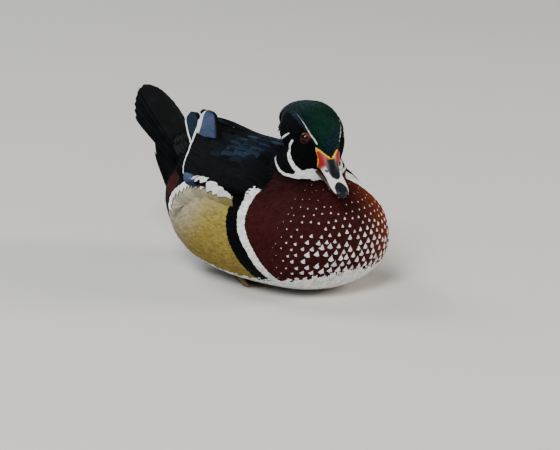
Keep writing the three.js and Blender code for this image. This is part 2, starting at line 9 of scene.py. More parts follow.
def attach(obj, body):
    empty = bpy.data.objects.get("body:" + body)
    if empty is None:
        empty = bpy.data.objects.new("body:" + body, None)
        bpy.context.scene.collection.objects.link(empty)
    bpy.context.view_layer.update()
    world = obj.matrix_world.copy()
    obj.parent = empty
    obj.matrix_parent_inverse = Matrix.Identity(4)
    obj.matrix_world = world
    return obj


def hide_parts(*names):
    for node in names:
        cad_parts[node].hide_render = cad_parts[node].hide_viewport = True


# A drake wood duck, life size. The bird's lengths below are millimetres in the CAD frame:
# +X towards the breast, +Y to the bird's left, +Z up.
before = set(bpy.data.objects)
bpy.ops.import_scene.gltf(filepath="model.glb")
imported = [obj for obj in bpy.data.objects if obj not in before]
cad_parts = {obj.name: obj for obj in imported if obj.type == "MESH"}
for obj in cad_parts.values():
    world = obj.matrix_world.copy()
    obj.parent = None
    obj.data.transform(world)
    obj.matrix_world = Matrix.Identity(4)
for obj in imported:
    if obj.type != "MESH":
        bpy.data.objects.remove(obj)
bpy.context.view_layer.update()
bpy.ops.object.select_all(action="DESELECT")
mm = 0.001
draw = np.random.default_rng(11)
print("frame loaded:", len(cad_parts), "CAD nodes")

# camera, floor and light

view = {
    "azimuth": 47.4,
    "elevation": 14.4,
    "distance": 4.0,
    "lens": 277.7,
    "sensor": 36,
    "aimHeight": 0.040,
    "aimRight": 0.0249,
    "aimUp": 0.00145,
    "frameWide": 560,
    "frameHigh": 450,
}
turn = math.radians(view["azimuth"])
rise = math.radians(view["elevation"])
viewRight = Vector((math.cos(turn), math.sin(turn), 0))
viewUp = Vector((-math.sin(turn) * math.sin(rise), math.cos(turn) * math.sin(rise), math.cos(rise)))
viewBack = Vector((math.sin(turn) * math.cos(rise), -math.cos(turn) * math.cos(rise), math.sin(rise)))
aim = Vector((0, 0, view["aimHeight"])) + viewRight * view["aimRight"] + viewUp * view["aimUp"]
cameraSpot = aim + viewBack * view["distance"]

bpy.ops.object.camera_add(location=cameraSpot)
camera = bpy.context.object
camera.rotation_euler = Matrix((viewRight, viewUp, viewBack)).transposed().to_euler()
camera.data.lens = view["lens"]
camera.data.sensor_width = view["sensor"]
camera.data.clip_end = 100
bpy.context.scene.camera = camera

bpy.ops.mesh.primitive_plane_add(size=16)
floor = bpy.context.object
floor.name = "floor"

lamps = {
    "key": {"spot": (1.0, -1.9, 2.3), "size": 1.3, "power": 100, "color": (1.0, 0.98, 0.95)},
    "warm": {"spot": (1.5, 1.7, 1.1), "size": 0.9, "power": 40, "color": (1.0, 0.86, 0.70)},
    "back": {"spot": (-2.0, -0.2, 2.2), "size": 1.2, "power": 42, "color": (0.90, 0.95, 1.0)},
}
lampAim = Vector((0, 0, 0.08))
for name, lamp in lamps.items():
    bpy.ops.object.light_add(type="AREA", location=lamp["spot"])
    light = bpy.context.object
    light.name = name + "Light"
    light.data.size = lamp["size"]
    light.data.energy = lamp["power"]
    light.data.color = lamp["color"]
    light.rotation_euler = (Vector(lamp["spot"]) - lampAim).to_track_quat("Z", "Y").to_euler()

sky = {"color": (0.80, 0.84, 0.88, 1), "strength": 0.27}
world = bpy.data.worlds.new("softRoom")
bpy.context.scene.world = world
world.use_nodes = True
world.node_tree.nodes["Background"].inputs["Color"].default_value = sky["color"]
world.node_tree.nodes["Background"].inputs["Strength"].default_value = sky["strength"]
print("camera, floor and light placed")

# forms, as tables of sections: place along, top, bottom and half width

widestAt = 0.42  # the height at which a section is widest, as a share of its own height
trunkForm = {
    "x": [140, 137, 124, 98, 60, 14, -30, -64, -88, -97],
    "top": [52, 73, 90, 103, 114, 117, 111, 99, 88, 74],
    "bottom": [46, 27, 10, 1, -2, -2, 5, 23, 43, 60],
    "half": [0, 30, 55, 72, 79, 78, 68, 49, 29, 0],
    "roundness": 2.05,
}
wingForm = {
    "x": [86, 50, 10, -30, -62, -84, -100],
    "top": [106, 120, 123, 123, 126, 131, 137],
    "bottom": [22, 8, 8, 12, 30, 56, 84],
    "half": [74, 82.5, 83, 73, 55, 36, 20],
    "roundness": 2.1,
}
headForm = {
    "x": [46, 41, 31, 15, -3, -19, -33, -43, -47],
    "top": [-6, -1, 11, 24, 28, 24.5, 15, 4, -7],
    "bottom": [-10, -15.5, -20, -24, -26, -28, -27, -20, -10],
    "half": [0, 9, 15.3, 24.8, 26.2, 24.5, 19.5, 12, 0],
    "roundness": 2.15,
    "crownRoundness": 2.5,
}
undertailForm = {
    "x": [26, 14, -8, -34, -54, -64],
    "top": [-4, 0, -6, -9, -13, -16],
    "bottom": [-20, -31, -31, -28, -21, -18],
    "half": [0, 26, 26, 21, 12, 0],
    "roundness": 2.05,
}
uppertailForm = {
    "x": [10, 2, -14, -32, -42],
    "top": [10, 13, 10, 4.5, 1],
    "bottom": [-2, -6, -6, -3, -1],
    "half": [0, 20, 20, 15, 0],
    "roundness": 2.05,
}
place = {
    "head": (82, 0.5, 142),
    "headYaw": -18,
    "headPitch": 20,
    "tail": (-78, 2, 80),
    "tailYaw": -5,
    "tailPitch": 45,
    "eye": (16.5, 16.2, 8.2),
    "farEye": (-3, 0, -3),
    "eyeAxis": (0.476, 0.845, 0.243),
    "eyeRadius": 5.7,
}


def turned(spot, yaw, pitch):
    placed = Matrix.Translation(spot) @ Matrix.Rotation(math.radians(yaw), 4, "Z")
    return np.array(placed @ Matrix.Rotation(math.radians(pitch), 4, "Y"))


headMatrix = turned(place["head"], place["headYaw"], place["headPitch"])
tailMatrix = turned(place["tail"], place["tailYaw"], place["tailPitch"])
headInverse = np.linalg.inv(headMatrix)


def moved(points, matrix):
    return points @ matrix[:3, :3].T + matrix[:3, 3]


# A row of a form's table, smooth through each of its values
def along(form, key, share):
    values = np.array(form[key], float)
    last = len(values) - 1
    spot = np.clip(share, 0, 1) * last
    i = np.minimum(spot.astype(int), last - 1)
    t = spot - i
    here, after = values[i], values[i + 1]
    slopeIn = (after - values[np.maximum(i - 1, 0)]) / 2
    slopeOut = (values[np.minimum(i + 2, last)] - here) / 2
    square, cube = t * t, t * t * t
    start = (2 * cube - 3 * square + 1) * here + (cube - 2 * square + t) * slopeIn
    return start + (3 * square - 2 * cube) * after + (cube - square) * slopeOut


# Points of a form. Angles are degrees from straight up, and 90 is the bird's right.
def formPoint(form, share, angle, lift):
    share, angle, lift = np.broadcast_arrays(np.asarray(share, float), angle, lift)
    top, bottom = along(form, "top", share), along(form, "bottom", share)
    half = np.maximum(along(form, "half", share), 0)
    middle = bottom + (top - bottom) * widestAt
    c, s = np.cos(np.radians(angle)), np.sin(np.radians(angle))
    upperRoundness = form.get("crownRoundness", form["roundness"])
    power = 2 / np.where(c > 0, upperRoundness, form["roundness"])
    across = np.sign(s) * np.abs(s) ** power
    up = np.sign(c) * np.abs(c) ** power
    reach = np.where(c > 0, top - middle, middle - bottom)
    return np.stack([along(form, "x", share), -(half + lift) * across, middle + (reach + lift) * up], -1)


# A surface of one form, as a function of share, angle and lift
def over(form):
    def spotOn(share, angle, lift):
        return formPoint(form, share, angle, lift)

    return spotOn


def smooth(low, high, value):
    t = np.clip((value - low) / (high - low), 0, 1)
    return t * t * (3 - 2 * t)


def meshObject(name, points, faces):
    mesh = bpy.data.meshes.new(name)
    mesh.from_pydata((np.asarray(points) * mm).tolist(), [], np.asarray(faces).tolist())
    mesh.update()
    piece = bpy.data.objects.new(name, mesh)
    bpy.context.collection.objects.link(piece)
    return piece


def chosen(piece):
    bpy.ops.object.select_all(action="DESELECT")
    piece.select_set(True)
    bpy.context.view_layer.objects.active = piece


# Runs one of Blender's edit mode tools over the whole of a piece
def edited(piece, tool, **settings):
    chosen(piece)
    bpy.ops.object.mode_set(mode="EDIT")
    bpy.ops.mesh.select_all(action="SELECT")
    tool(**settings)
    bpy.ops.object.mode_set(mode="OBJECT")


def applied(piece, kind, **settings):
    chosen(piece)
    bpy.ops.object.modifier_add(type=kind)
    modifier = piece.modifiers[-1]
    for key, value in settings.items():
        setattr(modifier, key, value)
    bpy.ops.object.modifier_apply(modifier=modifier.name)


# A closed skin through rings of points, with a pole at each end
def ringed(name, rings):
    count, around = rings.shape[:2]
    ends = rings[0].mean(0)[None], rings[-1].mean(0)[None]
    points = np.concatenate([ends[0], rings[1:-1].reshape(-1, 3), ends[1]])
    faces = []
    for j in range(around):
        k = (j + 1) % around
        faces.append((0, 1 + k, 1 + j))
        for i in range(count - 3):
            a, b = 1 + i * around, 1 + (i + 1) * around
            faces.append((a + j, a + k, b + k))
            faces.append((a + j, b + k, b + j))
        end = 1 + (count - 3) * around
        faces.append((end + j, end + k, len(points) - 1))
    return meshObject(name, points, faces)


def sectioned(name, form, lift, matrix=None, rings=48, around=64):
    share = (1 - np.cos(np.linspace(0, math.pi, rings))) / 2
    share = (share + np.linspace(0, 1, rings)) / 2
    points = formPoint(form, share[:, None], np.linspace(0, 360, around, endpoint=False)[None], lift)
    return ringed(name, points if matrix is None else moved(points, matrix))


neck = {"base": (74, 0, 88), "top": (-8, -1, -4), "wide": 24, "deep": 25, "flareWide": 40, "flareDeep": 23}


def neckForm(lift):
    base = np.array(neck["base"], float)
    top = np.array(place["head"]) + np.array(neck["top"])
    level = np.cos(np.linspace(math.pi, 0, 34))
    share = (1 - np.arccos(level) / math.pi) ** 0.9
    girth = np.maximum(1 - level**2, 0) ** 0.275
    around = np.radians(np.linspace(0, 360, 64, endpoint=False))
    centre = base + (top - base) * share[:, None]
    wide = (neck["wide"] + neck["flareWide"] * (1 - share) ** 1.8 + lift) * girth
    deep = (neck["deep"] + neck["flareDeep"] * (1 - share) ** 1.6 + lift) * girth
    ring = np.stack([np.cos(around)[None] * deep[:, None], np.sin(around)[None] * wide[:, None]], -1)
    rings = np.repeat(centre[:, None], len(around), 1)
    rings[..., :2] += ring
    return ringed("neckForm", rings)


wing = {"hem": 58, "hemRise": 14, "ridge": 1.2, "end": 0.63, "thick": 5}
wingAt = over(wingForm)


# The lower edge of a wing's bed, in degrees, at a share of the bed's own length
def hemAt(share):
    return wing["hem"] - wing["hemRise"] * (1 - share) ** 3


# The bed that a folded wing's feathers grow from
def wingBed(side, lift):
    s = np.linspace(0, 1, 40)[:, None]
    t = np.linspace(0, 1, 26)[None]
    angle = (wing["ridge"] + (hemAt(s) - wing["ridge"]) * t) * side
    share = s * wing["end"] * (1 - 0.25 * t**2)
    edge = 1 - 0.75 * (2 * np.abs(t - 0.5)) ** 6
    outer = wingAt(share, angle, lift)
    inner = wingAt(share, angle, lift - wing["thick"] * edge - 4)
    return plateObject("wingBed", outer, inner)


# Points and triangles of a closed plate from its two faces, both grids of the same size
def plateMesh(outer, inner):
    steps, rows = outer.shape[:2]
    points = np.concatenate([outer.reshape(-1, 3), inner.reshape(-1, 3)])
    number = np.arange(steps * rows).reshape(steps, rows)
    a, b, c, d = number[:-1, :-1], number[1:, :-1], number[1:, 1:], number[:-1, 1:]
    top = np.stack([a, b, c, a, c, d], -1).reshape(-1, 3)
    low = steps * rows
    under = top[:, ::-1] + low
    rim = np.concatenate([number[0], number[1:, -1], number[-1, -2::-1], number[-2:0:-1, 0]])
    after = np.roll(rim, -1)
    sides = np.stack([rim, after, after + low, rim, after + low, rim + low], -1).reshape(-1, 3)
    return points, np.concatenate([top, under, sides])


def plateObject(name, outer, inner):
    points, faces = plateMesh(outer, inner)
    return meshObject(name, points, faces)


crest = {
    "path": [(10, 0, 15), (-21, 0, 13), (-42, 0, -3), (-53, 0, -22), (-60, 0, -40)],
    "core": 0.8,
    "wide": (24, 8),
    "deep": (11, 6),
}


def crestLine(share):
    path = np.array(crest["path"], float)
    form = {"x": path[:, 0], "z": path[:, 2]}
    zero = np.zeros_like(share)
    return np.stack([along(form, "x", share), zero, along(form, "z", share)], -1)


# Points of the crest in the head's frame, given as a form's are
def crestAt(share, angle, lift):
    share, angle, lift = np.broadcast_arrays(np.asarray(share, float), angle, lift)
    share = np.clip(share, 0, 1)
    forward = crestLine(np.minimum(share + 0.01, 1)) - crestLine(np.maximum(share - 0.01, 0))
    forward /= np.linalg.norm(forward, axis=-1, keepdims=True)
    girth = np.maximum(1 - (2 * np.minimum(share / crest["core"], 0.93) - 1) ** 2, 0) ** 0.4
    wide = (crest["wide"][0] + (crest["wide"][1] - crest["wide"][0]) * share) * girth + lift
    deep = (crest["deep"][0] + (crest["deep"][1] - crest["deep"][0]) * share) * girth + lift
    c, s = np.cos(np.radians(angle)), np.sin(np.radians(angle))
    out = np.stack([forward[..., 2] * c * deep, -s * wide, -forward[..., 0] * c * deep], -1)
    return crestLine(share) + out


def crestCore(lift):
    share = np.linspace(0, crest["core"], 30)[:, None]
    points = crestAt(share, np.linspace(0, 360, 40, endpoint=False)[None], lift)
    points[0], points[-1] = points[0].mean(0), points[-1].mean(0)
    return ringed("crestCore", moved(points, headMatrix))


# one skin under all of the plumage

skinMake = {"depth": 1.3, "crestDepth": 2.2, "voxel": 1.8, "smoothing": 14, "floor": 1.4}


def makeSkin():
    depth = -skinMake["depth"]
    forms = [
        sectioned("trunkForm", trunkForm, depth),
        sectioned("headForm", headForm, depth, headMatrix),
        sectioned("undertailForm", undertailForm, depth, tailMatrix),
        sectioned("uppertailForm", uppertailForm, depth, tailMatrix),
        neckForm(depth),
        wingBed(1, depth),
        wingBed(-1, depth),
        crestCore(-skinMake["crestDepth"]),
    ]
    bpy.ops.object.select_all(action="DESELECT")
    for form in forms:
        form.select_set(True)
    bpy.context.view_layer.objects.active = forms[0]
    bpy.ops.object.join()
    piece = forms[0]
    edited(piece, bpy.ops.mesh.normals_make_consistent, inside=False)
    applied(piece, "REMESH", mode="VOXEL", voxel_size=skinMake["voxel"] * mm)
    applied(piece, "SMOOTH", factor=0.5, iterations=skinMake["smoothing"])
    piece.name = "skin"
    piece.data.name = "skin"
    return piece


# One value of every element of a mesh, as rows
def readAll(elements, name, wide, kind=float):
    values = np.empty(len(elements) * wide, kind)
    elements.foreach_get(name, values)
    return values.reshape(-1, wide)


def vertexArray(mesh):
    return readAll(mesh.vertices, "co", 3) / mm


def setVertices(mesh, points):
    mesh.vertices.foreach_set("co", (points * mm).ravel())
    mesh.update()


# An eye's centre and the way it looks, in the head's frame; the left one sits a little further back
def eyeSeat(side):
    centre = np.array(place["eye"]) + np.array(place["farEye"]) * (side > 0)
    axis = np.array(place["eyeAxis"]) / np.linalg.norm(place["eyeAxis"])
    return centre * np.array([1, side, 1]), axis * np.array([1, side, 1])


# The skin's points with an opening behind each eye, and a flat belly on the floor
def opened(points):
    inHead = moved(points, headInverse)
    for side in (1, -1):
        centre, axis = eyeSeat(side)
        fromCentre = inHead - centre
        depth = fromCentre @ axis
        away = np.linalg.norm(fromCentre - depth[:, None] * axis, axis=1)
        behind = (away < place["eyeRadius"] - 0.8) & (depth > -2)
        inHead[behind] -= axis * (depth[behind] - 1.0)[:, None]
    points = moved(inHead, headMatrix)
    points[:, 2] = np.maximum(points[:, 2], skinMake["floor"])
    return points


skin = makeSkin()
skinPoints = opened(vertexArray(skin.data))
setVertices(skin.data, skinPoints)
skin.data.uv_layers.new(name="OFBake")
edited(skin, bpy.ops.uv.smart_project, angle_limit=math.radians(66), island_margin=0.002)
skin.data.calc_loop_triangles()
skinTriangles = readAll(skin.data.loop_triangles, "vertices", 3, int)
skinLoops = readAll(skin.data.loop_triangles, "loops", 3, int)
skinUv = readAll(skin.data.uv_layers["OFBake"].data, "uv", 2)
skinTree = BVHTree.FromPolygons(skinPoints.tolist(), skinTriangles.tolist())
print("skin made:", len(skinTriangles), "triangles")

# markings, as lines on the skin and bounds between the colours of the plumage

pixelSpread = view["sensor"] / view["lens"] / view["frameWide"]


# The skin's point under a pixel of the picture
def underPixel(across, down):
    ray = -viewBack + viewRight * (across - view["frameWide"] / 2) * pixelSpread
    ray += viewUp * (view["frameHigh"] / 2 - down) * pixelSpread
    hit = skinTree.ray_cast(cameraSpot / mm, ray.normalized())[0]
    return np.array(hit if hit else (0, 0, 0))


# White lines of the head: pixels along each, its half width in millimetres there, and how much of that
# width the far side keeps
headLines = {
    "brow": {
        "pixels": [
            (294.5, 111.5), (299, 116.6), (303, 121.6), (307.7, 129.7),
            (311, 135.4), (314.3, 139.6), (317, 144),
        ],
        "half": [0.1, 0.2, 0.3, 0.45, 0.6, 0.65, 0.65],
        "farSide": 0.55,
    },
    "nape": {"pixels": [(282.5, 138.2), (285.5, 135.6), (289.8, 133)], "half": [0.9, 0.9, 0.6]},
    "cheek": {
        "pixels": [(292.9, 140.4), (290.4, 145), (289, 152.6), (290.2, 160.3), (294, 167), (299.6, 172.4)],
        "half": [1.2, 1.6, 1.75, 1.8, 1.9, 2.4],
    },
    "bib": {
        "pixels": [(297, 174.6), (303, 174.6), (310, 174.4), (318, 174.6), (323, 175.4)],
        "half": [2.6, 3.6, 4, 4, 4],
    },
    "collar": {
        "pixels": [(276.4, 156.5), (277, 165), (279.6, 170.3), (284.3, 174.2), (292, 176), (299, 176.4)],
        "half": [0.7, 0.9, 1.0, 1.2, 1.5, 2.4],
    },
}


def onSkin(points):
    return np.array([skinTree.find_nearest(point)[0] for point in points])


# Each head line on both sides of the head, as points close together with a half width at each
def lineOnSkin(line):
    shown = np.array([underPixel(*pixel) for pixel in line["pixels"]])
    shown = moved(shown, headInverse)
    mirrored = shown * np.array([1, -1, 1])
    both = []
    for path, width in ((shown, 1), (mirrored, line.get("farSide", 1))):
        spot = np.linspace(0, len(path) - 1, 12 * len(path))
        index = np.arange(len(path))
        points = np.stack([np.interp(spot, index, path[:, k]) for k in range(3)], -1)
        half = np.interp(spot, index, line["half"]) * width
        both.append(np.column_stack([onSkin(moved(points, headMatrix)), half]))
    return np.concatenate(both)


# The white chin: rows of dots across it, each with its place along the head, height, reach and spacing
chin = {"rows": [(36, -21, 12, 3), (30, -22, 16, 4)], "half": 4.2}
chinLine = [(x, y, z) for x, z, reach, step in chin["rows"] for y in range(-reach, reach + 1, step)]
chinDots = onSkin(moved(np.array(chinLine, float), headMatrix))
chinDots = np.column_stack([chinDots, np.full(len(chinLine), chin["half"])])
whiteDots = np.concatenate([*(lineOnSkin(line) for line in headLines.values()), chinDots])
whiteTree = KDTree(len(whiteDots))
for i, dot in enumerate(whiteDots):
    whiteTree.insert(dot[:3], i)
whiteTree.balance()


zoneReach = 9.0  # distances from a marking's edge are kept up to this


# How far each point is outside the head's white lines, negative inside them
def outsideWhite(points, nearHead):
    outside = np.full(len(points), zoneReach)
    for i in np.flatnonzero(nearHead > -14):
        near = whiteTree.find_n(points[i], 3)
        outside[i] = min(distance - whiteDots[index, 3] for spot, index, distance in near)
    return outside


# Bounds of the side bars, rear to front, as heights and the place along the bird at each
sideBars = {
    "height": [20, 30, 38, 44, 53, 65, 76.5, 89, 99, 112],
    "blackRear": [70, 65, 61, 57, 52, 47, 44.9, 45, 48, 54],
    "whiteRear": [88, 83, 79, 75.5, 68, 61, 57.4, 57.2, 62, 66],
    "whiteFront": [98, 93, 88.5, 85, 78, 70, 66.6, 66.4, 73, 77],
    "leftShift": [0, 3, 8, 14, 25, 38, 48, 42, 26, 16],
    "leftWiden": [0, 0, 0, 0, 2, 5, 8, 9, 9, 8],
    "topRight": 99.5,
    "topLeft": 104,
}
barWiden = {"blackRear": 1, "whiteRear": 1, "whiteFront": 0.3}
flankTop = {
    "x": [-75, -60, -48.4, -24.8, -7, 8.7, 27.4, 39.8, 60],
    "z": [56, 63, 70, 82, 88, 89.5, 90, 87, 84],
}
bellyTop = {"x": [-90, -60, -30, 20, 60, 90, 120, 140], "z": [40, 30, 19, 14, 14, 17, 22, 27], "rear": -66}
wingFront = {"z": [80, 97, 105, 112, 118, 124], "x": [64, 66, 64, 59, 50, 40]}
billEdge = {
    "angle": [0, 20, 31, 48, 56, 66, 80, 100, 120, 180],
    "x": [42, 38.8, 35.6, 29.5, 31.5, 35.8, 37.3, 37.3, 36, 36],
}
collarLine = {"x": [-40, -16, 11, 36], "z": [-33, -30.5, -29.5, -27.5]}  # in the head's frame
crownLine = {"x": [-30, -13, 3, 13, 20, 28, 42], "z": [8, 16, 17.5, 16, 13, 7, -2]}  # in the head's frame
maroonPatch = {"x": -65, "z": 79, "radius": 15, "out": 18}
# painted sheen: bounds of the blue patch on the back, partly the feathers' own iridescence
paintedSheenBounds = {"low": 115, "rear": -40, "front": 40}


def levelOf(line, x):
    return np.interp(x, line["x"], line["z"])


# The angle of points round the head's own axis, in its frame, 0 at the crown
def headAngle(points):
    sections = np.linspace(0, 1, len(headForm["x"]))
    share = np.interp(-points[:, 0], -np.array(headForm["x"], float), sections)
    top, bottom = along(headForm, "top", share), along(headForm, "bottom", share)
    half = np.maximum(along(headForm, "half", share), 4)
    middle = bottom + (top - bottom) * widestAt
    reach = np.where(points[:, 2] > middle, top - middle, middle - bottom)
    return np.degrees(np.arctan2(np.abs(points[:, 1]) / half, (points[:, 2] - middle) / reach))


# How far in front of the feathered face's edge points are
def bareFace(points):
    inHead = moved(points, headInverse)
    return inHead[:, 0] - np.interp(headAngle(inHead), billEdge["angle"], billEdge["x"])


# How far inside each zone of the plumage points of the skin are, in millimetres; what is in none is black
def zonesAt(points, jitter):
    x, y, z = points.T
    hx, hy, hz = moved(points, headInverse).T
    head = np.minimum.reduce([hz - levelOf(collarLine, hx) + jitter * 0.4, hx + 70, z - 96])
    shift = np.where(y > 0, np.interp(z, sideBars["height"], sideBars["leftShift"]), 0)
    widen = np.where(y > 0, np.interp(z, sideBars["height"], sideBars["leftWiden"]), 0)
    bar = {}
    for name, widened in barWiden.items():
        bar[name] = np.interp(z, sideBars["height"], sideBars[name]) + shift - widen * widened
    belly = np.minimum(levelOf(bellyTop, x) + jitter * 5 - z, x - bellyTop["rear"])
    front = np.where(z < 100, bar["whiteFront"], np.interp(z, wingFront["z"], wingFront["x"]) + 6)
    lines = outsideWhite(points, head)
    barTop = np.where(y < 0, sideBars["topRight"] - 0.25 * (x - 60), sideBars["topLeft"]) - z
    white = np.minimum.reduce([x - bar["whiteRear"], bar["whiteFront"] - x, barTop, -head]) + jitter * 0.5
    flank = levelOf(flankTop, x) + 2 - z
    patch = maroonPatch["radius"] - np.hypot(x - maroonPatch["x"], (z - maroonPatch["z"]) * 1.1)
    nape = np.minimum(-26 - hx, hz + 50)
    zone = {
        "white": np.maximum.reduce([white, belly, jitter * 0.1 - lines]),
        "chestnut": np.minimum.reduce([x - front + jitter * 0.5, -head, lines - 0.9]),
        "buff": np.minimum.reduce([bar["blackRear"] - x + jitter * 0.6, x + 58 + jitter * 3, flank]),
        "maroon": np.minimum(patch, np.abs(y) - maroonPatch["out"]) + jitter * 4,
        "green": np.minimum.reduce([np.maximum(hz - levelOf(crownLine, hx), nape), head, lines]),
        # painted sheen: the blue zone over the back, partly the feathers' own iridescence
        "blue": np.minimum.reduce([z - paintedSheenBounds["low"], x - paintedSheenBounds["rear"], paintedSheenBounds["front"] - x, -head]),
    }
    return {name: np.clip(values, -zoneReach, zoneReach) for name, values in zone.items()}


def setFloats(mesh, name, values):
    values = np.asarray(values, float)
    kind = "FLOAT" if values.ndim == 1 else "FLOAT_VECTOR"
    field = mesh.attributes.new(name, kind, "POINT")
    field.data.foreach_set("value" if values.ndim == 1 else "vector", values.ravel())


def setZones(mesh, points, jitter):
    for name, values in zonesAt(points, jitter).items():
        setFloats(mesh, name, values)


# the lie of the coat, as a heading at every point of the skin

lie = {"pivot": (52, 104), "billRoot": (44, 0, -8), "rounds": 24}
skinNormals = readAll(skin.data.vertices, "normal", 3)


def flattened(headings, normals):
    headings = headings - normals * np.sum(headings * normals, 1)[:, None]
    return headings / np.maximum(np.linalg.norm(headings, axis=1), 1e-6)[:, None]


def makeLie():
    x, y, z = skinPoints.T
    inHead = moved(skinPoints, headInverse)
    hx, hy, hz = inHead.T
    heading = np.tile((-1.0, 0, 0), (len(skinPoints), 1))
    fromPivot = np.stack([x - lie["pivot"][0], z - lie["pivot"][1]], -1)
    far = np.maximum(np.linalg.norm(fromPivot, axis=1), 1)
    around = np.stack([fromPivot[:, 1] / far, 0 * x, -fromPivot[:, 0] / far], -1)
    inFront = smooth(40, 84, x)[:, None] * (fromPivot[:, 1] < 14)[:, None]
    heading = heading * (1 - inFront) + around * inFront
    neckShare = (smooth(20, 34, -hz) * smooth(96, 108, z))[:, None]
    heading = heading * (1 - neckShare) + np.array([-0.35, 0, -1.0]) * neckShare
    headShare = (smooth(-38, -24, hz) * (z > 100) * (hx > -70))[:, None]
    behindBill = inHead - np.array(lie["billRoot"])
    behindBill /= np.linalg.norm(behindBill, axis=1)[:, None]
    downNape = np.stack([0 * hx, 0 * hx, -smooth(10, -30, hx)], -1)
    headward = behindBill + np.array([-0.5, 0, 0])[None] + downNape
    headward = headward @ headMatrix[:3, :3].T
    heading = heading * (1 - headShare) + headward * headShare
    tailward = np.array([-1.0, 0, 0]) @ tailMatrix[:3, :3].T
    tailShare = smooth(-62, -84, x)[:, None]
    heading = heading * (1 - tailShare) + tailward * tailShare
    heading = flattened(heading, skinNormals)
    a, b = readAll(skin.data.edges, "vertices", 2, int).T
    for _ in range(lie["rounds"]):
        total = heading.copy()
        np.add.at(total, a, heading[b])
        np.add.at(total, b, heading[a])
        heading = flattened(total, skinNormals)
    return heading


skinLie = makeLie()
setZones(skin.data, skinPoints, np.zeros(len(skinPoints)))
print("markings and lie of the coat set")

# the small feathers of the coat, laid over the skin in pieces

coat = {
    "candidates": 420000,
    "regions": {
        "face": {"space": 1.05, "long": 3.4, "wide": 1.5, "stand": 0.5},
        "head": {"space": 1.3, "long": 5.4, "wide": 2.0, "stand": 0.7},
        "neck": {"space": 1.7, "long": 7.5, "wide": 3.0, "stand": 0.9},
        "breast": {"space": 2.0, "long": 9, "wide": 4.4, "stand": 1.0},
        "flankRight": {"space": 2.1, "long": 12, "wide": 4.6, "stand": 1.0},
        "flankLeft": {"space": 2.1, "long": 12, "wide": 4.6, "stand": 1.0},
        "back": {"space": 2.4, "long": 12, "wide": 6.0, "stand": 1.2},
        "belly": {"space": 2.4, "long": 10, "wide": 5.5, "stand": 1.0},
        "rump": {"space": 2.2, "long": 13, "wide": 5.0, "stand": 1.3},
    },
    "thick": 0.24,
    "patch": 0.003,
}
regionNames = list(coat["regions"])
stations = np.array([0.32, 0.66, 0.9])
rounded = (0.86, 1.0, 0.62)
blunt = (0.5, 0.9, 1.0)


# The region of each point: the last one in the list that holds it, or else the back
def regionOf(points):
    x, y, z = points.T
    hx, hy, hz = moved(points, headInverse).T
    onFlank = z < levelOf(flankTop, x) + 3
    front = np.interp(z, sideBars["height"], sideBars["whiteRear"])
    onHead = (hz > -31) & (z > 100) & (hx > -62)
    holds = {
        "flankRight": onFlank & (x < 62) & (y < 0),
        "flankLeft": onFlank & (x < 72) & (y > 0),
        "breast": (x > np.minimum(front, 62)) & (z < 104),
        "belly": (z < 17) & (x > -60),
        "rump": x < -56,
        "neck": (z > 102) & (x > 36) & (hz < -20) & (hx > -40),
        "head": onHead,
        "face": onHead & (hx > 12),
    }
    index = np.full(len(points), regionNames.index("back"))
    for name, held in holds.items():
        index[held] = regionNames.index(name)
    return index


def sampleSkin(count):
    a, b, c = (skinPoints[skinTriangles[:, k]] for k in range(3))
    area = np.linalg.norm(np.cross(b - a, c - a), axis=1)
    pick = draw.choice(len(area), count, p=area / area.sum())
    u, v = draw.random(count), draw.random(count)
    fold = u + v > 1
    u[fold], v[fold] = 1 - u[fold], 1 - v[fold]
    weights = np.stack([1 - u - v, u, v], -1)[:, :, None]
    spots = (skinPoints[skinTriangles[pick]] * weights).sum(1)
    patches = (skinUv[skinLoops[pick]] * weights).sum(1)
    headings = (skinLie[skinTriangles[pick]] * weights).sum(1)
    normals = (skinNormals[skinTriangles[pick]] * weights).sum(1)
    normals /= np.linalg.norm(normals, axis=1)[:, None]
    return spots, patches, flattened(headings, normals), normals


# Keeps points in the order given, dropping those nearer to a kept one than its space
def thinned(points, spaces):
    tree = KDTree(len(points))
    for i, point in enumerate(points):
        tree.insert(point, i)
    tree.balance()
    free = np.ones(len(points), bool)
    kept = []
    for i, point in enumerate(points):
        if not free[i]:
            continue
        kept.append(i)
        for spot, index, distance in tree.find_range(point, spaces[i]):
            free[index] = False
    return np.array(kept)


# Where feathers run: their points, headings and normals at each share of their length
def runFeathers(spots, headings, normals, lengths, shares):
    run = [(spots, headings, normals)]
    before = 0
    for share in shares:
        ahead = spots + headings * (lengths * (share - before))[:, None]
        near = [skinTree.find_nearest(point) for point in ahead]
        spots = np.array([hit[0] for hit in near])
        fresh = np.array([hit[1] for hit in near])
        fresh *= np.sign(np.sum(fresh * normals, 1))[:, None]
        normals = fresh
        headings = flattened(headings, normals)
        run.append((spots, headings, normals))
        before = share
    return run


# Triangles of one small feather: a root, three stations of left, ridge and right, and a tip
def featherFaces():
    faces = [(0, 2, 1), (0, 3, 2), (0, 1, 3)]
    for k in (1, 4):
        left, ridge, right = k, k + 1, k + 2
        left2, ridge2, right2 = k + 3, k + 4, k + 5
        faces += [(ridge, ridge2, left2), (ridge, left2, left)]
        faces += [(right, right2, ridge2), (right, ridge2, ridge)]
        faces += [(left, left2, right2), (left, right2, right)]
    faces += [(8, 10, 7), (9, 10, 8), (7, 10, 9)]
    return np.array(faces)


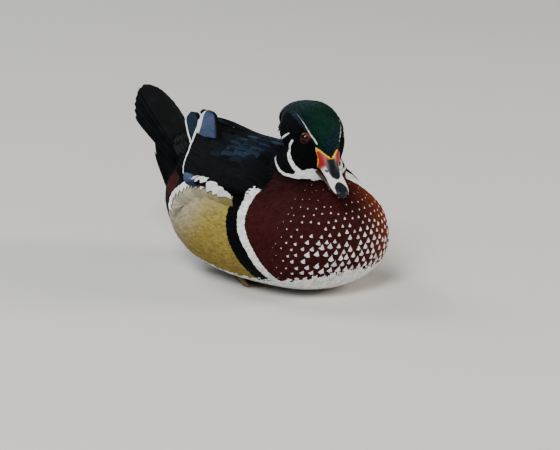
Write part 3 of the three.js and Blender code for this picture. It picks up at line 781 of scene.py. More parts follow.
def featherPoints(run, widths, stands, thick, outline):
    count = len(widths)
    points = np.empty((count, 11, 3))
    footprint = np.empty((count, 11, 3))
    points[:, 0] = run[0][0] - run[0][2] * 0.5
    footprint[:, 0] = run[0][0]
    for k, share in enumerate(stations):
        spot, heading, normal = run[k + 1]
        side = np.cross(normal, heading)
        half = (widths * outline[k] / 2)[:, None]
        lift = (stands * share**0.8)[:, None]
        points[:, 1 + 3 * k] = spot + side * half + normal * (lift - 0.25 * half)
        points[:, 2 + 3 * k] = spot + normal * (lift + thick)
        points[:, 3 + 3 * k] = spot - side * half + normal * (lift - 0.25 * half)
        for j, shift in enumerate((half, 0, -half)):
            footprint[:, 1 + 3 * k + j] = spot + side * shift
    points[:, 10] = run[4][0] + run[4][2] * (stands * 0.95)[:, None]
    footprint[:, 10] = run[4][0]
    return points.reshape(-1, 3), footprint.reshape(-1, 3)


featherAcross = np.array([0, 1, 0, -1, 1, 0, -1, 1, 0, -1, 0])
featherAlong = np.array([0, *np.repeat(stations, 3), 1.0])


def addUv(mesh, uv):
    layer = mesh.uv_layers.new(name="OFBake")
    corners = readAll(mesh.loops, "vertex_index", 1, int)[:, 0]
    layer.data.foreach_set("uv", uv[corners].ravel())


# Small feathers as one piece. seats holds their places, places on the skin's map, headings and normals.
def coatPiece(name, seats, lengths, widths, stands, spotSize=None, outline=rounded):
    spots, patches, headings, normals = seats
    count = len(spots)
    run = runFeathers(spots, headings, normals, lengths, [*stations, 1.0])
    points, footprint = featherPoints(run, widths, stands, coat["thick"], outline)
    faces = featherFaces()[None] + (np.arange(count) * 11)[:, None, None]
    piece = meshObject(name, points, faces.reshape(-1, 3))
    chance = draw.random(count)
    setZones(piece.data, footprint, np.repeat(chance - 0.5, 11))
    grid = np.stack([np.tile(featherAcross, count), np.tile(featherAlong, count), np.repeat(chance, 11)], -1)
    setFloats(piece.data, "feather", grid)
    setFloats(piece.data, "spot", np.repeat(np.zeros(count) if spotSize is None else spotSize, 11))
    uv = patches[:, None] + np.stack([featherAcross / 2, featherAlong - 0.5], -1)[None] * coat["patch"]
    addUv(piece.data, np.clip(uv.reshape(-1, 2), 0, 1))
    chosen(piece)
    bpy.ops.object.shade_smooth_by_angle(angle=math.radians(50))
    return piece


def makeCoat():
    spots, patches, headings, normals = sampleSkin(coat["candidates"])
    region = regionOf(spots)
    spaces = np.array([coat["regions"][name]["space"] for name in regionNames])[region]
    inHead = moved(spots, headInverse)
    nearEye = np.zeros(len(spots), bool)
    for side in (1, -1):
        centre, axis = eyeSeat(side)
        away = np.linalg.norm(inHead - centre - axis * 2 - np.array([1.2, 0, 0]), axis=1)
        nearEye |= away < place["eyeRadius"] + 0.7
    usable = ~nearEye & ~((bareFace(spots) > -0.6) & (inHead[:, 2] > -18)) & (spots[:, 2] > 2.2)
    order = np.flatnonzero(usable)
    kept = order[thinned(spots[order], spaces[order])]
    pieces = {}
    for index, name in enumerate(regionNames):
        mine = kept[region[kept] == index]
        make = coat["regions"][name]
        size = 1 + (draw.random(len(mine)) - 0.5) * 0.3
        near = -bareFace(spots[mine])
        size *= np.where(near < 12, 0.6 + 0.4 * np.clip(near, 0, 12) / 12, 1) if name == "face" else 1
        sway = (draw.random(len(mine)) - 0.5) * 0.22
        side = np.cross(normals[mine], headings[mine])
        swung = flattened(headings[mine] + side * sway[:, None], normals[mine])
        stands = make["stand"] * (0.75 + 0.5 * draw.random(len(mine)))
        seats = (spots[mine], patches[mine], swung, normals[mine])
        pieces[name] = coatPiece(name + "Plumage", seats, make["long"] * size, make["wide"] * size, stands)
        print(name, len(mine), "feathers")
    return pieces


coatPieces = makeCoat()

# breast feathers that end in a white point, in staggered rows round the breast

breastRows = {
    "low": 24,
    "high": 105,
    "rise": 5.6,
    "turn": 6.0,
    "axis": 58,
    "smallAbove": 104,
    "smallest": 0.16,
    "missing": 0.05,
    "missingAbove": (84, 0.12),
    "long": 11,
    "wide": 6.4,
    "stand": 1.7,
}


def makeBreastPoints():
    rows = []
    levels = np.arange(breastRows["low"], breastRows["high"], breastRows["rise"])
    for row, level in enumerate(levels):
        for bearing in np.arange(-84, 85, breastRows["turn"]):
            turnTo = math.radians(bearing + (row % 2) * breastRows["turn"] / 2 + draw.normal(0, 0.5))
            height = level + draw.normal(0, 0.5)
            outward = Vector((math.cos(turnTo), math.sin(turnTo), 0))
            hit, normal, face, distance = skinTree.ray_cast((breastRows["axis"], 0, height), outward)
            if hit is None:
                continue
            grow = np.clip((breastRows["smallAbove"] - height) / 56, breastRows["smallest"], 1) ** 1.2
            grow *= smooth(-64, -28, math.degrees(turnTo)) * smooth(84, 58, math.degrees(turnTo))
            above, more = breastRows["missingAbove"]
            if grow < 0.1 or draw.random() < breastRows["missing"] + more * (height > above):
                continue
            corner = skinTriangles[face][0]
            rows.append((*hit, *skinLie[corner], *skinNormals[corner], *skinUv[skinLoops[face][0]], grow))
    rows = np.array(rows)
    rows = rows[zonesAt(rows[:, :3], np.zeros(len(rows)))["chestnut"] > 0.5]
    grow = rows[:, 11] * (0.85 + 0.3 * draw.random(len(rows)))
    size = 0.72 + 0.28 * grow
    spots, headings, normals, patches = rows[:, :3], rows[:, 3:6], rows[:, 6:9], rows[:, 9:11]
    spots = onSkin(spots - headings * (breastRows["long"] * 0.8 * size)[:, None])
    stands = np.full(len(rows), breastRows["stand"])
    long, wide = breastRows["long"] * size, breastRows["wide"] * size
    return coatPiece("breastPoints", (spots, patches, headings, normals), long, wide, stands, grow, blunt)


breastPoints = makeBreastPoints()
print("coat laid")

# large feathers, each a thin closed plate with its own grid of shares across and along

plateCounts = {"stepsAlong": 13, "stepsAcross": 9}


def featherWidth(s, root, tip):
    rising = root + (1 - root) * np.sin(np.minimum(s, 0.5) * math.pi)
    falling = 1 + (tip - 1) * np.maximum(s * 2 - 1, 0) ** 2.6
    end = np.sqrt(np.maximum(1 - np.maximum((s - 0.9) / 0.1, 0) ** 2, 0.05))
    return np.where(s < 0.5, rising, falling) * end


def newBundle():
    return {"points": [], "faces": [], "grid": [], "kind": [], "count": 0}


# spotAt(s, t, k) gives the points: s along, t across from -1 to 1, k 0 under and 1 above
def addPlate(bundle, spotAt, kind, outer, stepsAlong, stepsAcross):
    s = np.linspace(0, 1, stepsAlong)[:, None]
    t = np.linspace(-1, 1, stepsAcross)[None]
    s, t = np.broadcast_arrays(s, t)
    points, faces = plateMesh(spotAt(s, t, 1), spotAt(s, t, 0))
    grid = np.stack([t * outer, s, np.full(s.shape, draw.random())], -1).reshape(-1, 3)
    bundle["faces"].append(faces + bundle["count"])
    bundle["points"].append(points)
    bundle["grid"].append(np.concatenate([grid, grid]))
    bundle["kind"].append(np.tile(kind, (len(points), 1)))
    bundle["count"] += len(points)


vaneShape = {"thick": 0.7, "radius": 72, "tip": 0.4, "curl": 1.3, "matrix": None}


# A feather over a surface, from one place on it to another, each a share, an angle and a lift
def addVane(bundle, surface, start, end, width, kind, outer=1, counts=plateCounts, **changed):
    shape = {**vaneShape, **changed}
    ragged = 1 - 0.05 * draw.random((counts["stepsAlong"], 1))
    bend = draw.normal(0, 0.6)

    def spotAt(s, t, k):
        share = start[0] + (end[0] - start[0]) * s
        half = width / 2 * featherWidth(s, 0.6, shape["tip"]) * ragged
        centre = start[1] + (end[1] - start[1]) * s + bend * s**2
        taper = shape["thick"] * (1 - 0.5 * s) * (1 - 0.6 * t * t)
        shaft = 0.25 * np.exp(-((t / 0.09) ** 2)) * (1 - s)
        lift = start[2] + (end[2] - start[2]) * s ** shape["curl"] - np.abs(t) ** 1.6 * 0.5
        lift = lift + (k - 0.5) * taper + k * shaft
        points = surface(share, centre + np.degrees(t * half / shape["radius"]), lift)
        return points if shape["matrix"] is None else moved(points, shape["matrix"])

    addPlate(bundle, spotAt, kind, outer, **counts)


def bundlePiece(name, bundle):
    points, faces = np.concatenate(bundle["points"]), np.concatenate(bundle["faces"])
    piece = meshObject(name, points, faces)
    grid = np.concatenate(bundle["grid"])
    setFloats(piece.data, "feather", grid)
    setFloats(piece.data, "kind", np.concatenate(bundle["kind"]))
    feathers = len(bundle["points"])
    rows = math.ceil(math.sqrt(feathers))
    number = np.repeat(np.arange(feathers), [len(points) for points in bundle["points"]])
    cell = np.stack([number % rows, number // rows], -1)
    inCell = np.stack([0.5 + 0.46 * grid[:, 0], 0.04 + 0.92 * grid[:, 1]], -1)
    addUv(piece.data, (cell + inCell) / rows)
    edited(piece, bpy.ops.mesh.normals_make_consistent, inside=False)
    bpy.ops.object.shade_smooth_by_angle(angle=math.radians(45))
    return piece


# kind: how much slate blue a feather has, where its white outer edge starts and how long its white tip is
# on the coverts the share of slate blue is painted sheen, partly their own iridescence
wingRows = {
    "coverts": {
        "rows": 8,
        "columns": 8,
        "step": 0.05,
        "reach": 0.10,
        "grow": 0.009,
        "width": 11,
        "rise": 0.7,
    },
    "secondaries": {"count": 12, "share": 0.30, "low": 15, "high": 50, "width": 13},
    "primaries": {
        "count": 4,
        "share": 0.46,
        "reach": 0.25,
        "shorter": 0.02,
        "low": 16,
        "high": 30,
        "turn": -7,
        "width": 12,
        "rise": 4,
        "lower": 1.2,
    },
    "lowPrimaries": {
        "count": 3,
        "share": 0.37,
        "reach": 0.105,
        "shorter": 0.008,
        "low": 54.2,
        "high": 58,
        "turn": 1,
        "width": 8,
        "rise": 2.2,
        "lower": 0.4,
    },
}
wingFace = {"angle": [0, 12, 25, 44, 58], "share": [0.17, 0.159, 0.118, 0.075, 0.07]}
wingRear = {
    "angle": [0, 10, 17, 27, 38, 46, 51, 55, 60],
    "share": [0.70, 0.67, 0.625, 0.585, 0.548, 0.528, 0.512, 0.49, 0.46],
    "lift": [9, 8, 6.5, 4, 2.2, 1.6, 1.4, 1.2, 1.0],
}
# flat tertials from the lowest up: where each starts and ends, as a share, an angle and a lift, then its
# curl, width, the width left at its tip, and its kind
tertials = [
    [(0.45, 32, -2.2), (0.772, 8, 9), 1.6, 23, 0.92, (0.36, 0.84, 0)],
    [(0.30, 20, -0.6), (0.56, 18, 3), 1.6, 20, 0.8, (0.1, 0, 0)],
    [(0.26, 9, -0.8), (0.54, 9, 2), 2, 22, 0.6, (0.1, 0, 0)],
]
# the raised blue tertial, as places along its two edges, and how high the far wing's stands beside it
blade = {
    "outer": {
        "share": [0.55, 0.578, 0.603, 0.622, 0.635, 0.640],
        "angle": [33, 29, 23, 17, 12, 7],
        "lift": [-1.5, 3.0, 5.2, 7.4, 11.5, 18],
    },
    "inner": {
        "share": [0.41, 0.43, 0.47, 0.508, 0.555, 0.600],
        "angle": [23, 19, 13, 7.8, 3.4, 0.6],
        "lift": [-3, -1.8, 1.6, 6, 12.5, 17.5],
    },
    "farLift": 0.08,
    "farAngle": 15,
    "kind": (1.3, 0.62, 0),
}


def spaced(low, high, i, count):
    return low + (high - low) * i / (count - 1)


# A row of primaries, the lowest in the row the shortest
def addPrimaries(bundle, side, row, depth, kind, **shape):
    for i in range(row["count"]):
        angle = spaced(row["low"], row["high"], i, row["count"])
        reach = row["share"] + row["reach"] - row["shorter"] * i
        start = (row["share"], side * angle, -depth)
        end = (reach, side * (angle + row["turn"]), row["rise"] - row["lower"] * i)
        addVane(bundle, wingAt, start, end, row["width"], kind, outer=side, **shape)


def addTertial(bundle, side, start, end, curl, width, tip, kind):
    ends = [(share, side * angle, lift) for share, angle, lift in (start, end)]
    counts = {"stepsAlong": 22, "stepsAcross": 13}
    addVane(bundle, wingAt, *ends, width, kind, side, counts, radius=66, tip=tip, curl=curl)


# Rows of coverts from the rear forwards, with a painted blue sheen in the middle of the back, partly their
# own iridescence
def addCoverts(bundle, side, row):
    for line in reversed(range(row["rows"])):
        low = hemAt((0.1 + line * row["step"]) / wing["end"]) - 6
        for column in range(row["columns"]):
            down = (column + (line % 2) * 0.5) / (row["columns"] - 0.5)
            angle = 3 + low * down + draw.normal(0, 0.5)
            begin = np.interp(angle, wingFace["angle"], wingFace["share"]) - 0.015 + line * row["step"]
            begin += draw.normal(0, 0.003)
            start = (begin, side * angle, -1.2)
            end = (begin + row["reach"] + row["grow"] * line, side * (angle - 1.5), row["rise"])
            # painted sheen: a blue patch where light catches the coverts, partly their own iridescence
            paintedSheen = smooth(0.12, 0.22, begin) * smooth(0.46, 0.36, begin)
            paintedSheen = paintedSheen * smooth(33, 24, angle) * smooth(2, 7, angle)
            kind = (paintedSheen * (0.45 + 0.4 * draw.random()), 0, 0)
            width = row["width"] + 0.8 * line
            addVane(bundle, wingAt, start, end, width, kind, outer=side, tip=0.62, thick=0.5)


def makeWing(side):
    bundle = newBundle()
    addPrimaries(bundle, side, wingRows["lowPrimaries"], 2.4, (1.6, 0, 0), radius=70, curl=0.7)
    addPrimaries(bundle, side, wingRows["primaries"], 2.8, (0.2, 0, 0), radius=45, tip=0.5)
    addTertial(bundle, side, *tertials[0])
    row = wingRows["secondaries"]
    for i in reversed(range(row["count"])):
        angle = spaced(row["low"], row["high"], i, row["count"])
        addSecondary(bundle, side, row["share"] + 0.05 * (angle < 30), angle, row["width"])
    for tertial in tertials[1:]:
        addTertial(bundle, side, *tertial)
    addBlade(bundle, side)
    addCoverts(bundle, side, wingRows["coverts"])
    return bundlePiece("rightWing" if side > 0 else "leftWing", bundle)


def addBlade(bundle, side):
    def edge(name, s):
        return np.stack([along(blade[name], key, s) for key in ("share", "angle", "lift")], -1)

    def spotAt(s, t, k):
        end = np.sqrt(np.maximum(1 - np.maximum((s - 0.86) / 0.14, 0) ** 2, 0.03))
        across = (0.5 + 0.5 * t * end)[..., None]
        spots = edge("inner", s) * (1 - across) + edge("outer", s) * across
        share, angle, lift = np.moveaxis(spots, -1, 0)
        if side < 0:
            angle = angle + blade["farAngle"]
            lift = lift * blade["farLift"]
        lift = lift + (k - 0.5) * 0.7 * (1 - 0.5 * s) - 0.5 * np.abs(t) ** 1.6
        return wingAt(share, side * angle, lift)

    addPlate(bundle, spotAt, blade["kind"], outer=side, stepsAlong=36, stepsAcross=17)


# A secondary: its squared tip ends on the line of the wing's rear edge
def addSecondary(bundle, side, share, angle, width):
    ragged = 0.004 * draw.random((1, 11))

    def spotAt(s, t, k):
        half = width / 2 * (0.7 + 0.3 * np.sin(np.minimum(s, 0.5) * math.pi))
        turnTo = angle + np.degrees(t * half / 66)
        rear = np.interp(turnTo, wingRear["angle"], wingRear["share"]) - ragged * s
        rise = np.interp(turnTo, wingRear["angle"], wingRear["lift"])
        lift = -1.6 + (rise + 1.6) * s**1.3 - 0.35 * np.abs(t) ** 1.6 + (k - 0.5) * 0.6 * (1 - 0.5 * s)
        return wingAt(share + (rear - share) * s, side * turnTo, lift)

    length = np.interp(angle, wingRear["angle"], wingRear["share"]) - share
    white = np.interp(angle, [15, 30, 54], [0.0135, 0.0105, 0.0055]) / length
    addPlate(bundle, spotAt, (0, 0, white), outer=side, stepsAlong=40, stepsAcross=11)


rightWing = makeWing(1)
leftWing = makeWing(-1)

# flank feathers that lap over the wing's lower edge, white at the tip over a black line

fringe = {
    "count": 15,
    "share": [0.488, 0.500, 0.529, 0.565, 0.591, 0.614, 0.628, 0.64, 0.655, 0.672, 0.68, 0.678],
    "angle": [54.8, 53.8, 51.5, 49.5, 49.8, 50.8, 53.2, 56.8, 60.8, 65, 69.2, 75.2],
    "white": [3.2, 4.6, 6.6, 7.4, 6.8, 5.4, 4.4, 3.8, 3.2, 2.8, 2.4, 2.2],
    "shareMm": 400,
    "degreeMm": 1.25,
    "long": 18,
    "frontLong": 10.5,
    "lean": 0.4,
    "width": 13.5,
    "thick": 0.7,
    "rise": 9.8,
    "curl": 0.85,
}


# One feather of the fringe: its tip and its heading are millimetres rearwards and up along the flank
def addFringeVane(bundle, side, tip, heading, long, size, white):
    across = np.array([heading[1], -heading[0]])
    long = long * size
    ragged = 1 - 0.04 * draw.random((24, 1))

    def spotAt(s, t, k):
        half = fringe["width"] * size / 2 * featherWidth(s, 0.7, 0.92) * ragged
        back = tip[0] - heading[0] * long * (1 - s) + across[0] * half * t
        up = tip[1] - heading[1] * long * (1 - s) + across[1] * half * t
        lift = -2.2 + (fringe["rise"] + 2.2) * s ** fringe["curl"] + 0.5 * t - 0.3 * np.abs(t) ** 1.6
        lift = lift + (k - 0.5) * fringe["thick"] * (1 - 0.5 * s)
        return formPoint(trunkForm, back / fringe["shareMm"], -side * up / fringe["degreeMm"], lift)

    addPlate(bundle, spotAt, (1 - white / long, 0, 0), outer=side, stepsAlong=24, stepsAcross=13)


# The fringe from front to rear. kind: the share of its length at which a feather's white tip starts
def makeFringe(side):
    bundle = newBundle()
    rows = np.array([fringe["share"], fringe["angle"], fringe["white"]])
    slopes = np.gradient(rows, axis=1)
    index = np.arange(rows.shape[1])
    for i in range(fringe["count"]):
        spot = i / (fringe["count"] - 1) * index[-1]
        share, angle, white = (np.interp(spot, index, row) for row in rows)
        slope = np.array([np.interp(spot, index, slopes[0]), np.interp(spot, index, slopes[1])])
        rearward = slope * np.array([fringe["shareMm"], -fringe["degreeMm"]])
        rearward /= np.linalg.norm(rearward)
        heading = np.array([-rearward[1], rearward[0]]) + rearward * fringe["lean"]
        heading /= np.linalg.norm(heading)
        tip = np.array([share * fringe["shareMm"], -angle * fringe["degreeMm"]])
        long = np.interp(i, [1, 5], [fringe["frontLong"], fringe["long"]])
        addFringeVane(bundle, side, tip, heading, long, 0.94 + 0.1 * draw.random(), white)
    return bundlePiece("rightFringe" if side > 0 else "leftFringe", bundle)


rightFringe = makeFringe(1)
leftFringe = makeFringe(-1)

# tail

tail = {"pairs": 6, "long": 106, "wide": 25, "spread": 28, "step": 1.9, "tip": 0.75, "shorter": 0.25}
upperCoverts = [
    {"count": 9, "low": -70, "high": 70, "share": 0.34, "reach": 0.36, "width": 9, "rise": 1.2},
    {"count": 8, "low": -58, "high": 58, "share": 0.52, "reach": 0.4, "width": 9, "rise": 1.4},
]
underCoverts = [
    {"count": 11, "low": 110, "high": 250, "share": 0.3, "reach": 0.34, "width": 10, "rise": 1.6},
    {"count": 11, "low": 115, "high": 245, "share": 0.45, "reach": 0.36, "width": 10, "rise": 1.9},
    {"count": 9, "low": 120, "high": 240, "share": 0.6, "reach": 0.36, "width": 10, "rise": 2.1},
]


def addTailCoverts(bundle, form, tiers):
    counts = {"stepsAlong": 9, "stepsAcross": 5}
    shape = {"thick": 0.5, "radius": 24, "tip": 0.5, "matrix": tailMatrix}
    for tier in tiers:
        for i in range(tier["count"]):
            angle = tier["low"] + (tier["high"] - tier["low"]) * (i + 0.5 * draw.random()) / tier["count"]
            start = (tier["share"] + draw.normal(0, 0.012), angle, -1.5)
            end = (min(0.985, start[0] + tier["reach"]), angle, tier["rise"])
            addVane(bundle, over(form), start, end, tier["width"], (0, 0, 0), counts=counts, **shape)


def makeTail():
    bundle = newBundle()
    for i in range(tail["pairs"]):
        for side in (-1, 1):
            share = (i + 0.5) / tail["pairs"]
            long = tail["long"] * (1 - tail["shorter"] * share**1.8) + draw.normal(0, 0.4)
            drop = tail["step"] * (i + (0.5 if side > 0 else 0))
            out = math.radians(side * tail["spread"] * share / 2)
            ragged = 1 - 0.04 * draw.random((22, 1))

            def spotAt(s, t, k, long=long, drop=drop, out=out, ragged=ragged):
                half = tail["wide"] / 2 * featherWidth(s, 0.5, tail["tip"]) * ragged
                reach = s * long
                shaft = 0.3 * np.exp(-((t / 0.08) ** 2)) * (1 - s) * k
                height = -0.0009 * reach**2 - np.abs(t) * 0.7 - drop + (k - 0.5) * 0.5 + shaft
                x = reach * math.cos(out) - t * half * math.sin(out)
                y = reach * math.sin(out) + t * half * math.cos(out)
                return moved(np.stack([-x, y, height], -1), tailMatrix)

            addPlate(bundle, spotAt, (0, 0, 0), side, stepsAlong=22, stepsAcross=9)
    addTailCoverts(bundle, uppertailForm, upperCoverts)
    addTailCoverts(bundle, undertailForm, underCoverts)
    return bundlePiece("tailFan", bundle)


tailFan = makeTail()

# crest of long narrow feathers, the upper ones reaching furthest down the nape

crestTiers = [
    {"count": 26, "share": 0.52, "reach": 0.34, "low": -100, "high": 100, "width": 4.6, "rise": 0.5},
    {"count": 26, "share": 0.4, "reach": 0.42, "low": -92, "high": 92, "width": 4.6, "rise": 0.8},
    {"count": 26, "share": 0.28, "reach": 0.55, "low": -80, "high": 80, "width": 4.6, "rise": 1.1},
    {"count": 22, "share": 0.16, "reach": 0.72, "low": -60, "high": 60, "width": 4.6, "rise": 1.5},
    {"count": 16, "share": 0.08, "reach": 0.88, "low": -34, "high": 34, "width": 4.4, "rise": 1.9},
]


def makeCrest():
    bundle = newBundle()
    counts = {"stepsAlong": 12, "stepsAcross": 5}
    shape = {"radius": 13, "tip": 0.3, "thick": 0.5, "matrix": headMatrix}
    for tier in crestTiers:
        spread = tier["high"] - tier["low"]
        for i in range(tier["count"]):
            angle = tier["low"] + spread * (i + draw.random() * 0.7) / (tier["count"] - 0.5)
            start = (tier["share"] + draw.normal(0, 0.02), angle, -2.0)
            reach = tier["reach"] * (0.9 + 0.13 * draw.random())
            end = (min(1, start[0] + reach), angle * 0.82, tier["rise"])
            addVane(bundle, crestAt, start, end, tier["width"], (0, 0, 0), counts=counts, **shape)
    return bundlePiece("crestLocks", bundle)


crestLocks = makeCrest()
print("wings, fringe, tail and crest made")

# bill

bill = {
    "upper": {
        "x": [22, 28, 34, 40, 46, 54, 64, 72, 76.5, 78],
        "top": [18.2, 12.6, 6.8, 1.8, -3.2, -8.2, -12.2, -14.2, -15.4, -17.3],
        "bottom": [-14, -14.2, -14.4, -14.6, -14.9, -15.4, -16.4, -17.6, -19.4, -20.5],
        "half": [18.6, 16, 12.4, 9.2, 8.0, 7.5, 7.9, 6.9, 4.4, 0],
        "roundness": 2.05,
    },
    "lower": {
        "x": [24, 32, 42, 52, 62, 70, 74],
        "top": [-15.4, -15.2, -15.4, -15.7, -16.6, -17.6, -18.4],
        "bottom": [-21, -20.8, -20.0, -19.6, -19.8, -20.2, -20],
        "half": [8, 9, 8.4, 7.6, 7.2, 5.6, 0],
        "roundness": 2.3,
    },
    "hinge": 38,
    "turn": -1.8,
    "pitch": -1.8,
    "shift": -1.3,
    "nostril": (48.5, 6.2, -8.2),
    "nostrilHalf": (3.0, 2.4, 1.3),
}
toHinge = turned((bill["hinge"], bill["shift"], 0), bill["turn"], bill["pitch"])
billMatrix = headMatrix @ toHinge @ turned((-bill["hinge"], 0, 0), 0, 0)


def makeBill(name, form):
    rings, around = 110, 96
    share = np.linspace(0, 1, rings)[:, None]
    angle = np.linspace(0, 360, around, endpoint=False)[None]
    x = along(form, "x", share)
    folded = np.minimum(angle, 360 - angle)
    if name == "upperBill":
        edge = np.interp(folded, billEdge["angle"], billEdge["x"])
        lift = np.where(x > edge, 0.5, -3.5) * np.ones_like(folded)
        lift = np.clip(lift + 0 * x, -3.5, 0.5) * smooth(80, 44, x + 0 * folded)
    else:
        lift = np.where(x > 31, 0.0, -2.5) + 0 * folded
    points = formPoint(form, share, angle, lift)
    points[0] = points[0].mean(0)
    points[-1] = points[-1].mean(0)
    if name == "upperBill":
        for side in (1, -1):
            centre = np.array(bill["nostril"]) * np.array([1, side, 1])
            away = np.linalg.norm((points - centre) / np.array(bill["nostrilHalf"]), axis=-1)
            dent = (1 - smooth(0.5, 1.1, away))[..., None]
            points = points + dent * np.array([0, -side * 1.6, -0.6])
        nail = smooth(63, 65, points[..., 0] - 0.16 * points[..., 1] ** 2)
        nail = nail * smooth(6.2, 5.4, np.abs(points[..., 1])) * (points[..., 2] > -17.5)
        points[..., 2] += nail * 0.45
    piece = ringed(name, moved(points, billMatrix))
    if name == "upperBill":
        flat = np.concatenate([points[0][:1], points[1:-1].reshape(-1, 3), points[-1][:1]])
        wide = np.broadcast_to(folded, (rings, around))[1:-1].ravel()
        wide = np.concatenate([[0], wide, [0]])
        paintBill(piece, flat, wide)
    chosen(piece)
    bpy.ops.object.shade_smooth()
    return piece


# The colours of the upper bill, as shares of yellow, red and black over white horn
def paintBill(piece, points, angle):
    x, y, z = points.T
    out = np.abs(y)
    behind = x - np.interp(angle, billEdge["angle"], billEdge["x"])
    yellow = smooth(2.4, 1.7, behind * np.interp(angle, [0, 30, 50, 60, 110], [1.1, 0.75, 0.7, 1.6, 2.4]))
    redEnd = np.interp(z, [-15, -12, -8, -5, 0, 6], [41, 42, 44.5, 47, 47, 44])
    red = smooth(3.2, -3.2, x - redEnd)
    gape = np.interp(x, [36, 54, 64, 72], [-14.5, -15.4, -16.4, -17.4])
    red = np.maximum(red, smooth(1.6, 0.7, z - gape) * smooth(70, 62, x))
    ridge = np.interp(x, [42.5, 45, 49, 54, 58, 61], [4.8, 6.2, 5.9, 5.0, 3.9, 0.5])
    black = smooth(0.35, -0.35, out - ridge) * smooth(61, 60, x) * (angle < 80) * smooth(41.8, 43, x)
    tip = smooth(-0.3, 0.3, x - 63.2 - 0.16 * out**2) * smooth(6.2, 5.6, out)
    fromHole = (np.stack([x, out, z], -1) - np.array(bill["nostril"])) / np.array(bill["nostrilHalf"])
    hole = np.linalg.norm(fromHole, axis=1)
    black = np.maximum.reduce([black, tip, smooth(0.9, 0.6, hole)])
    setFloats(piece.data, "yellow", yellow)
    setFloats(piece.data, "red", red)
    setFloats(piece.data, "black", black)


upperBill = makeBill("upperBill", bill["upper"])
lowerBill = makeBill("lowerBill", bill["lower"])

# eyes and lids

eye = {"cornea": 0.35, "lidWide": 5.2, "lidHigh": 4.9, "lidThick": 0.5, "tilt": -10, "seat": 0.1}


def eyeMatrix(side):
    centre, axis = eyeSeat(side)
    turnTo = Vector(axis).to_track_quat("Z", "Y").to_matrix().to_4x4()
    return Matrix(headMatrix.tolist()) @ Matrix.Translation(centre) @ turnTo


def makeEye(side):
    bpy.ops.mesh.primitive_uv_sphere_add(segments=64, ring_count=40, radius=place["eyeRadius"] * mm)
    piece = bpy.context.object
    piece.name = "rightEye" if side < 0 else "leftEye"
    points = vertexArray(piece.data)
    level = points[:, 2] / place["eyeRadius"]
    points[:, 2] += eye["cornea"] * smooth(0.8, 1.0, level)
    whole = eyeMatrix(side)
    away = np.hypot(points[:, 0], points[:, 1])
    setFloats(piece.data, "fromPupil", np.where(points[:, 2] > 0, away, 9))
    setVertices(piece.data, moved(points, np.array(whole)))
    chosen(piece)
    bpy.ops.object.shade_smooth()
    return piece


def makeLids(side):
    bpy.ops.mesh.primitive_torus_add(major_segments=64, minor_segments=16, major_radius=1, minor_radius=0.1)
    piece = bpy.context.object
    piece.name = "rightLids" if side < 0 else "leftLids"
    points = vertexArray(piece.data) * mm
    around = np.arctan2(points[:, 1], points[:, 0])
    ring = np.hypot(points[:, 0], points[:, 1])
    offset = (ring - 1) / 0.1
    wide = eye["lidWide"] * (1 + 0.05 * np.abs(np.cos(around)) ** 6)
    thick = eye["lidThick"] * (1 + 0.12 * np.sin(around * 9))
    x = np.cos(around) * (wide + offset * thick)
    y = np.sin(around) * (eye["lidHigh"] + offset * thick)
    ball = np.sqrt(np.maximum(place["eyeRadius"] ** 2 - (x**2 + y**2), 3))
    z = points[:, 2] / 0.1 * thick + eye["seat"] + ball
    whole = eyeMatrix(side) @ Matrix.Rotation(math.radians(eye["tilt"] * side), 4, "Z")
    setVertices(piece.data, moved(np.stack([x, y, z], -1), np.array(whole)))
    chosen(piece)
    bpy.ops.object.shade_smooth()
    return piece


eyes = [makeEye(-1), makeEye(1)]
lids = [makeLids(-1), makeLids(1)]
print("bill, eyes and lids made")

# materials


def newMaterial(name, roughness):
    material = bpy.data.materials.new(name)
    material.use_nodes = True
    shader = material.node_tree.nodes["Principled BSDF"]
    shader.inputs["Roughness"].default_value = roughness
    return material, material.node_tree, shader


# Gives a socket a colour, a number or another node's output
def feed(tree, socket, value):
    if isinstance(value, tuple):
        socket.default_value = (*value, 1)
    elif isinstance(value, (int, float)):
        socket.default_value = value
    else:
        tree.links.new(value, socket)


def attribute(tree, name, output="Fac"):
    node = tree.nodes.new("ShaderNodeAttribute")
    node.attribute_name = name
    return node.outputs[output]


def split(tree, vector):
    node = tree.nodes.new("ShaderNodeSeparateXYZ")
    tree.links.new(vector, node.inputs[0])
    return node.outputs


def objectSpot(tree):
    return tree.nodes.new("ShaderNodeTexCoord").outputs["Object"]


def calculate(tree, operation, first, second=0.5):
    node = tree.nodes.new("ShaderNodeMath")
    node.operation = operation
    feed(tree, node.inputs[0], first)
    feed(tree, node.inputs[1], second)
    return node.outputs[0]


def ranged(tree, value, low, high, toLow=0.0, toHigh=1.0):
    node = tree.nodes.new("ShaderNodeMapRange")
    node.interpolation_type = "SMOOTHSTEP"
    numbers = {"Value": value, "From Min": low, "From Max": high, "To Min": toLow, "To Max": toHigh}
    for name, number in numbers.items():
        feed(tree, node.inputs[name], number)
    return node.outputs["Result"]


def mixed(tree, first, second, factor, blend="MIX"):
    node = tree.nodes.new("ShaderNodeMix")
    node.data_type = "RGBA"
    node.blend_type = blend
    for index, value in ((0, factor), (6, first), (7, second)):
        feed(tree, node.inputs[index], value)
    return node.outputs[2]


def noise(tree, scale, stretch=(1, 1, 1), detail=3):
    mapping = tree.nodes.new("ShaderNodeMapping")
    mapping.inputs["Scale"].default_value = stretch
    tree.links.new(objectSpot(tree), mapping.inputs["Vector"])
    texture = tree.nodes.new("ShaderNodeTexNoise")
    texture.inputs["Scale"].default_value = scale
    texture.inputs["Detail"].default_value = detail
    tree.links.new(mapping.outputs["Vector"], texture.inputs["Vector"])
    return texture.outputs["Fac"]
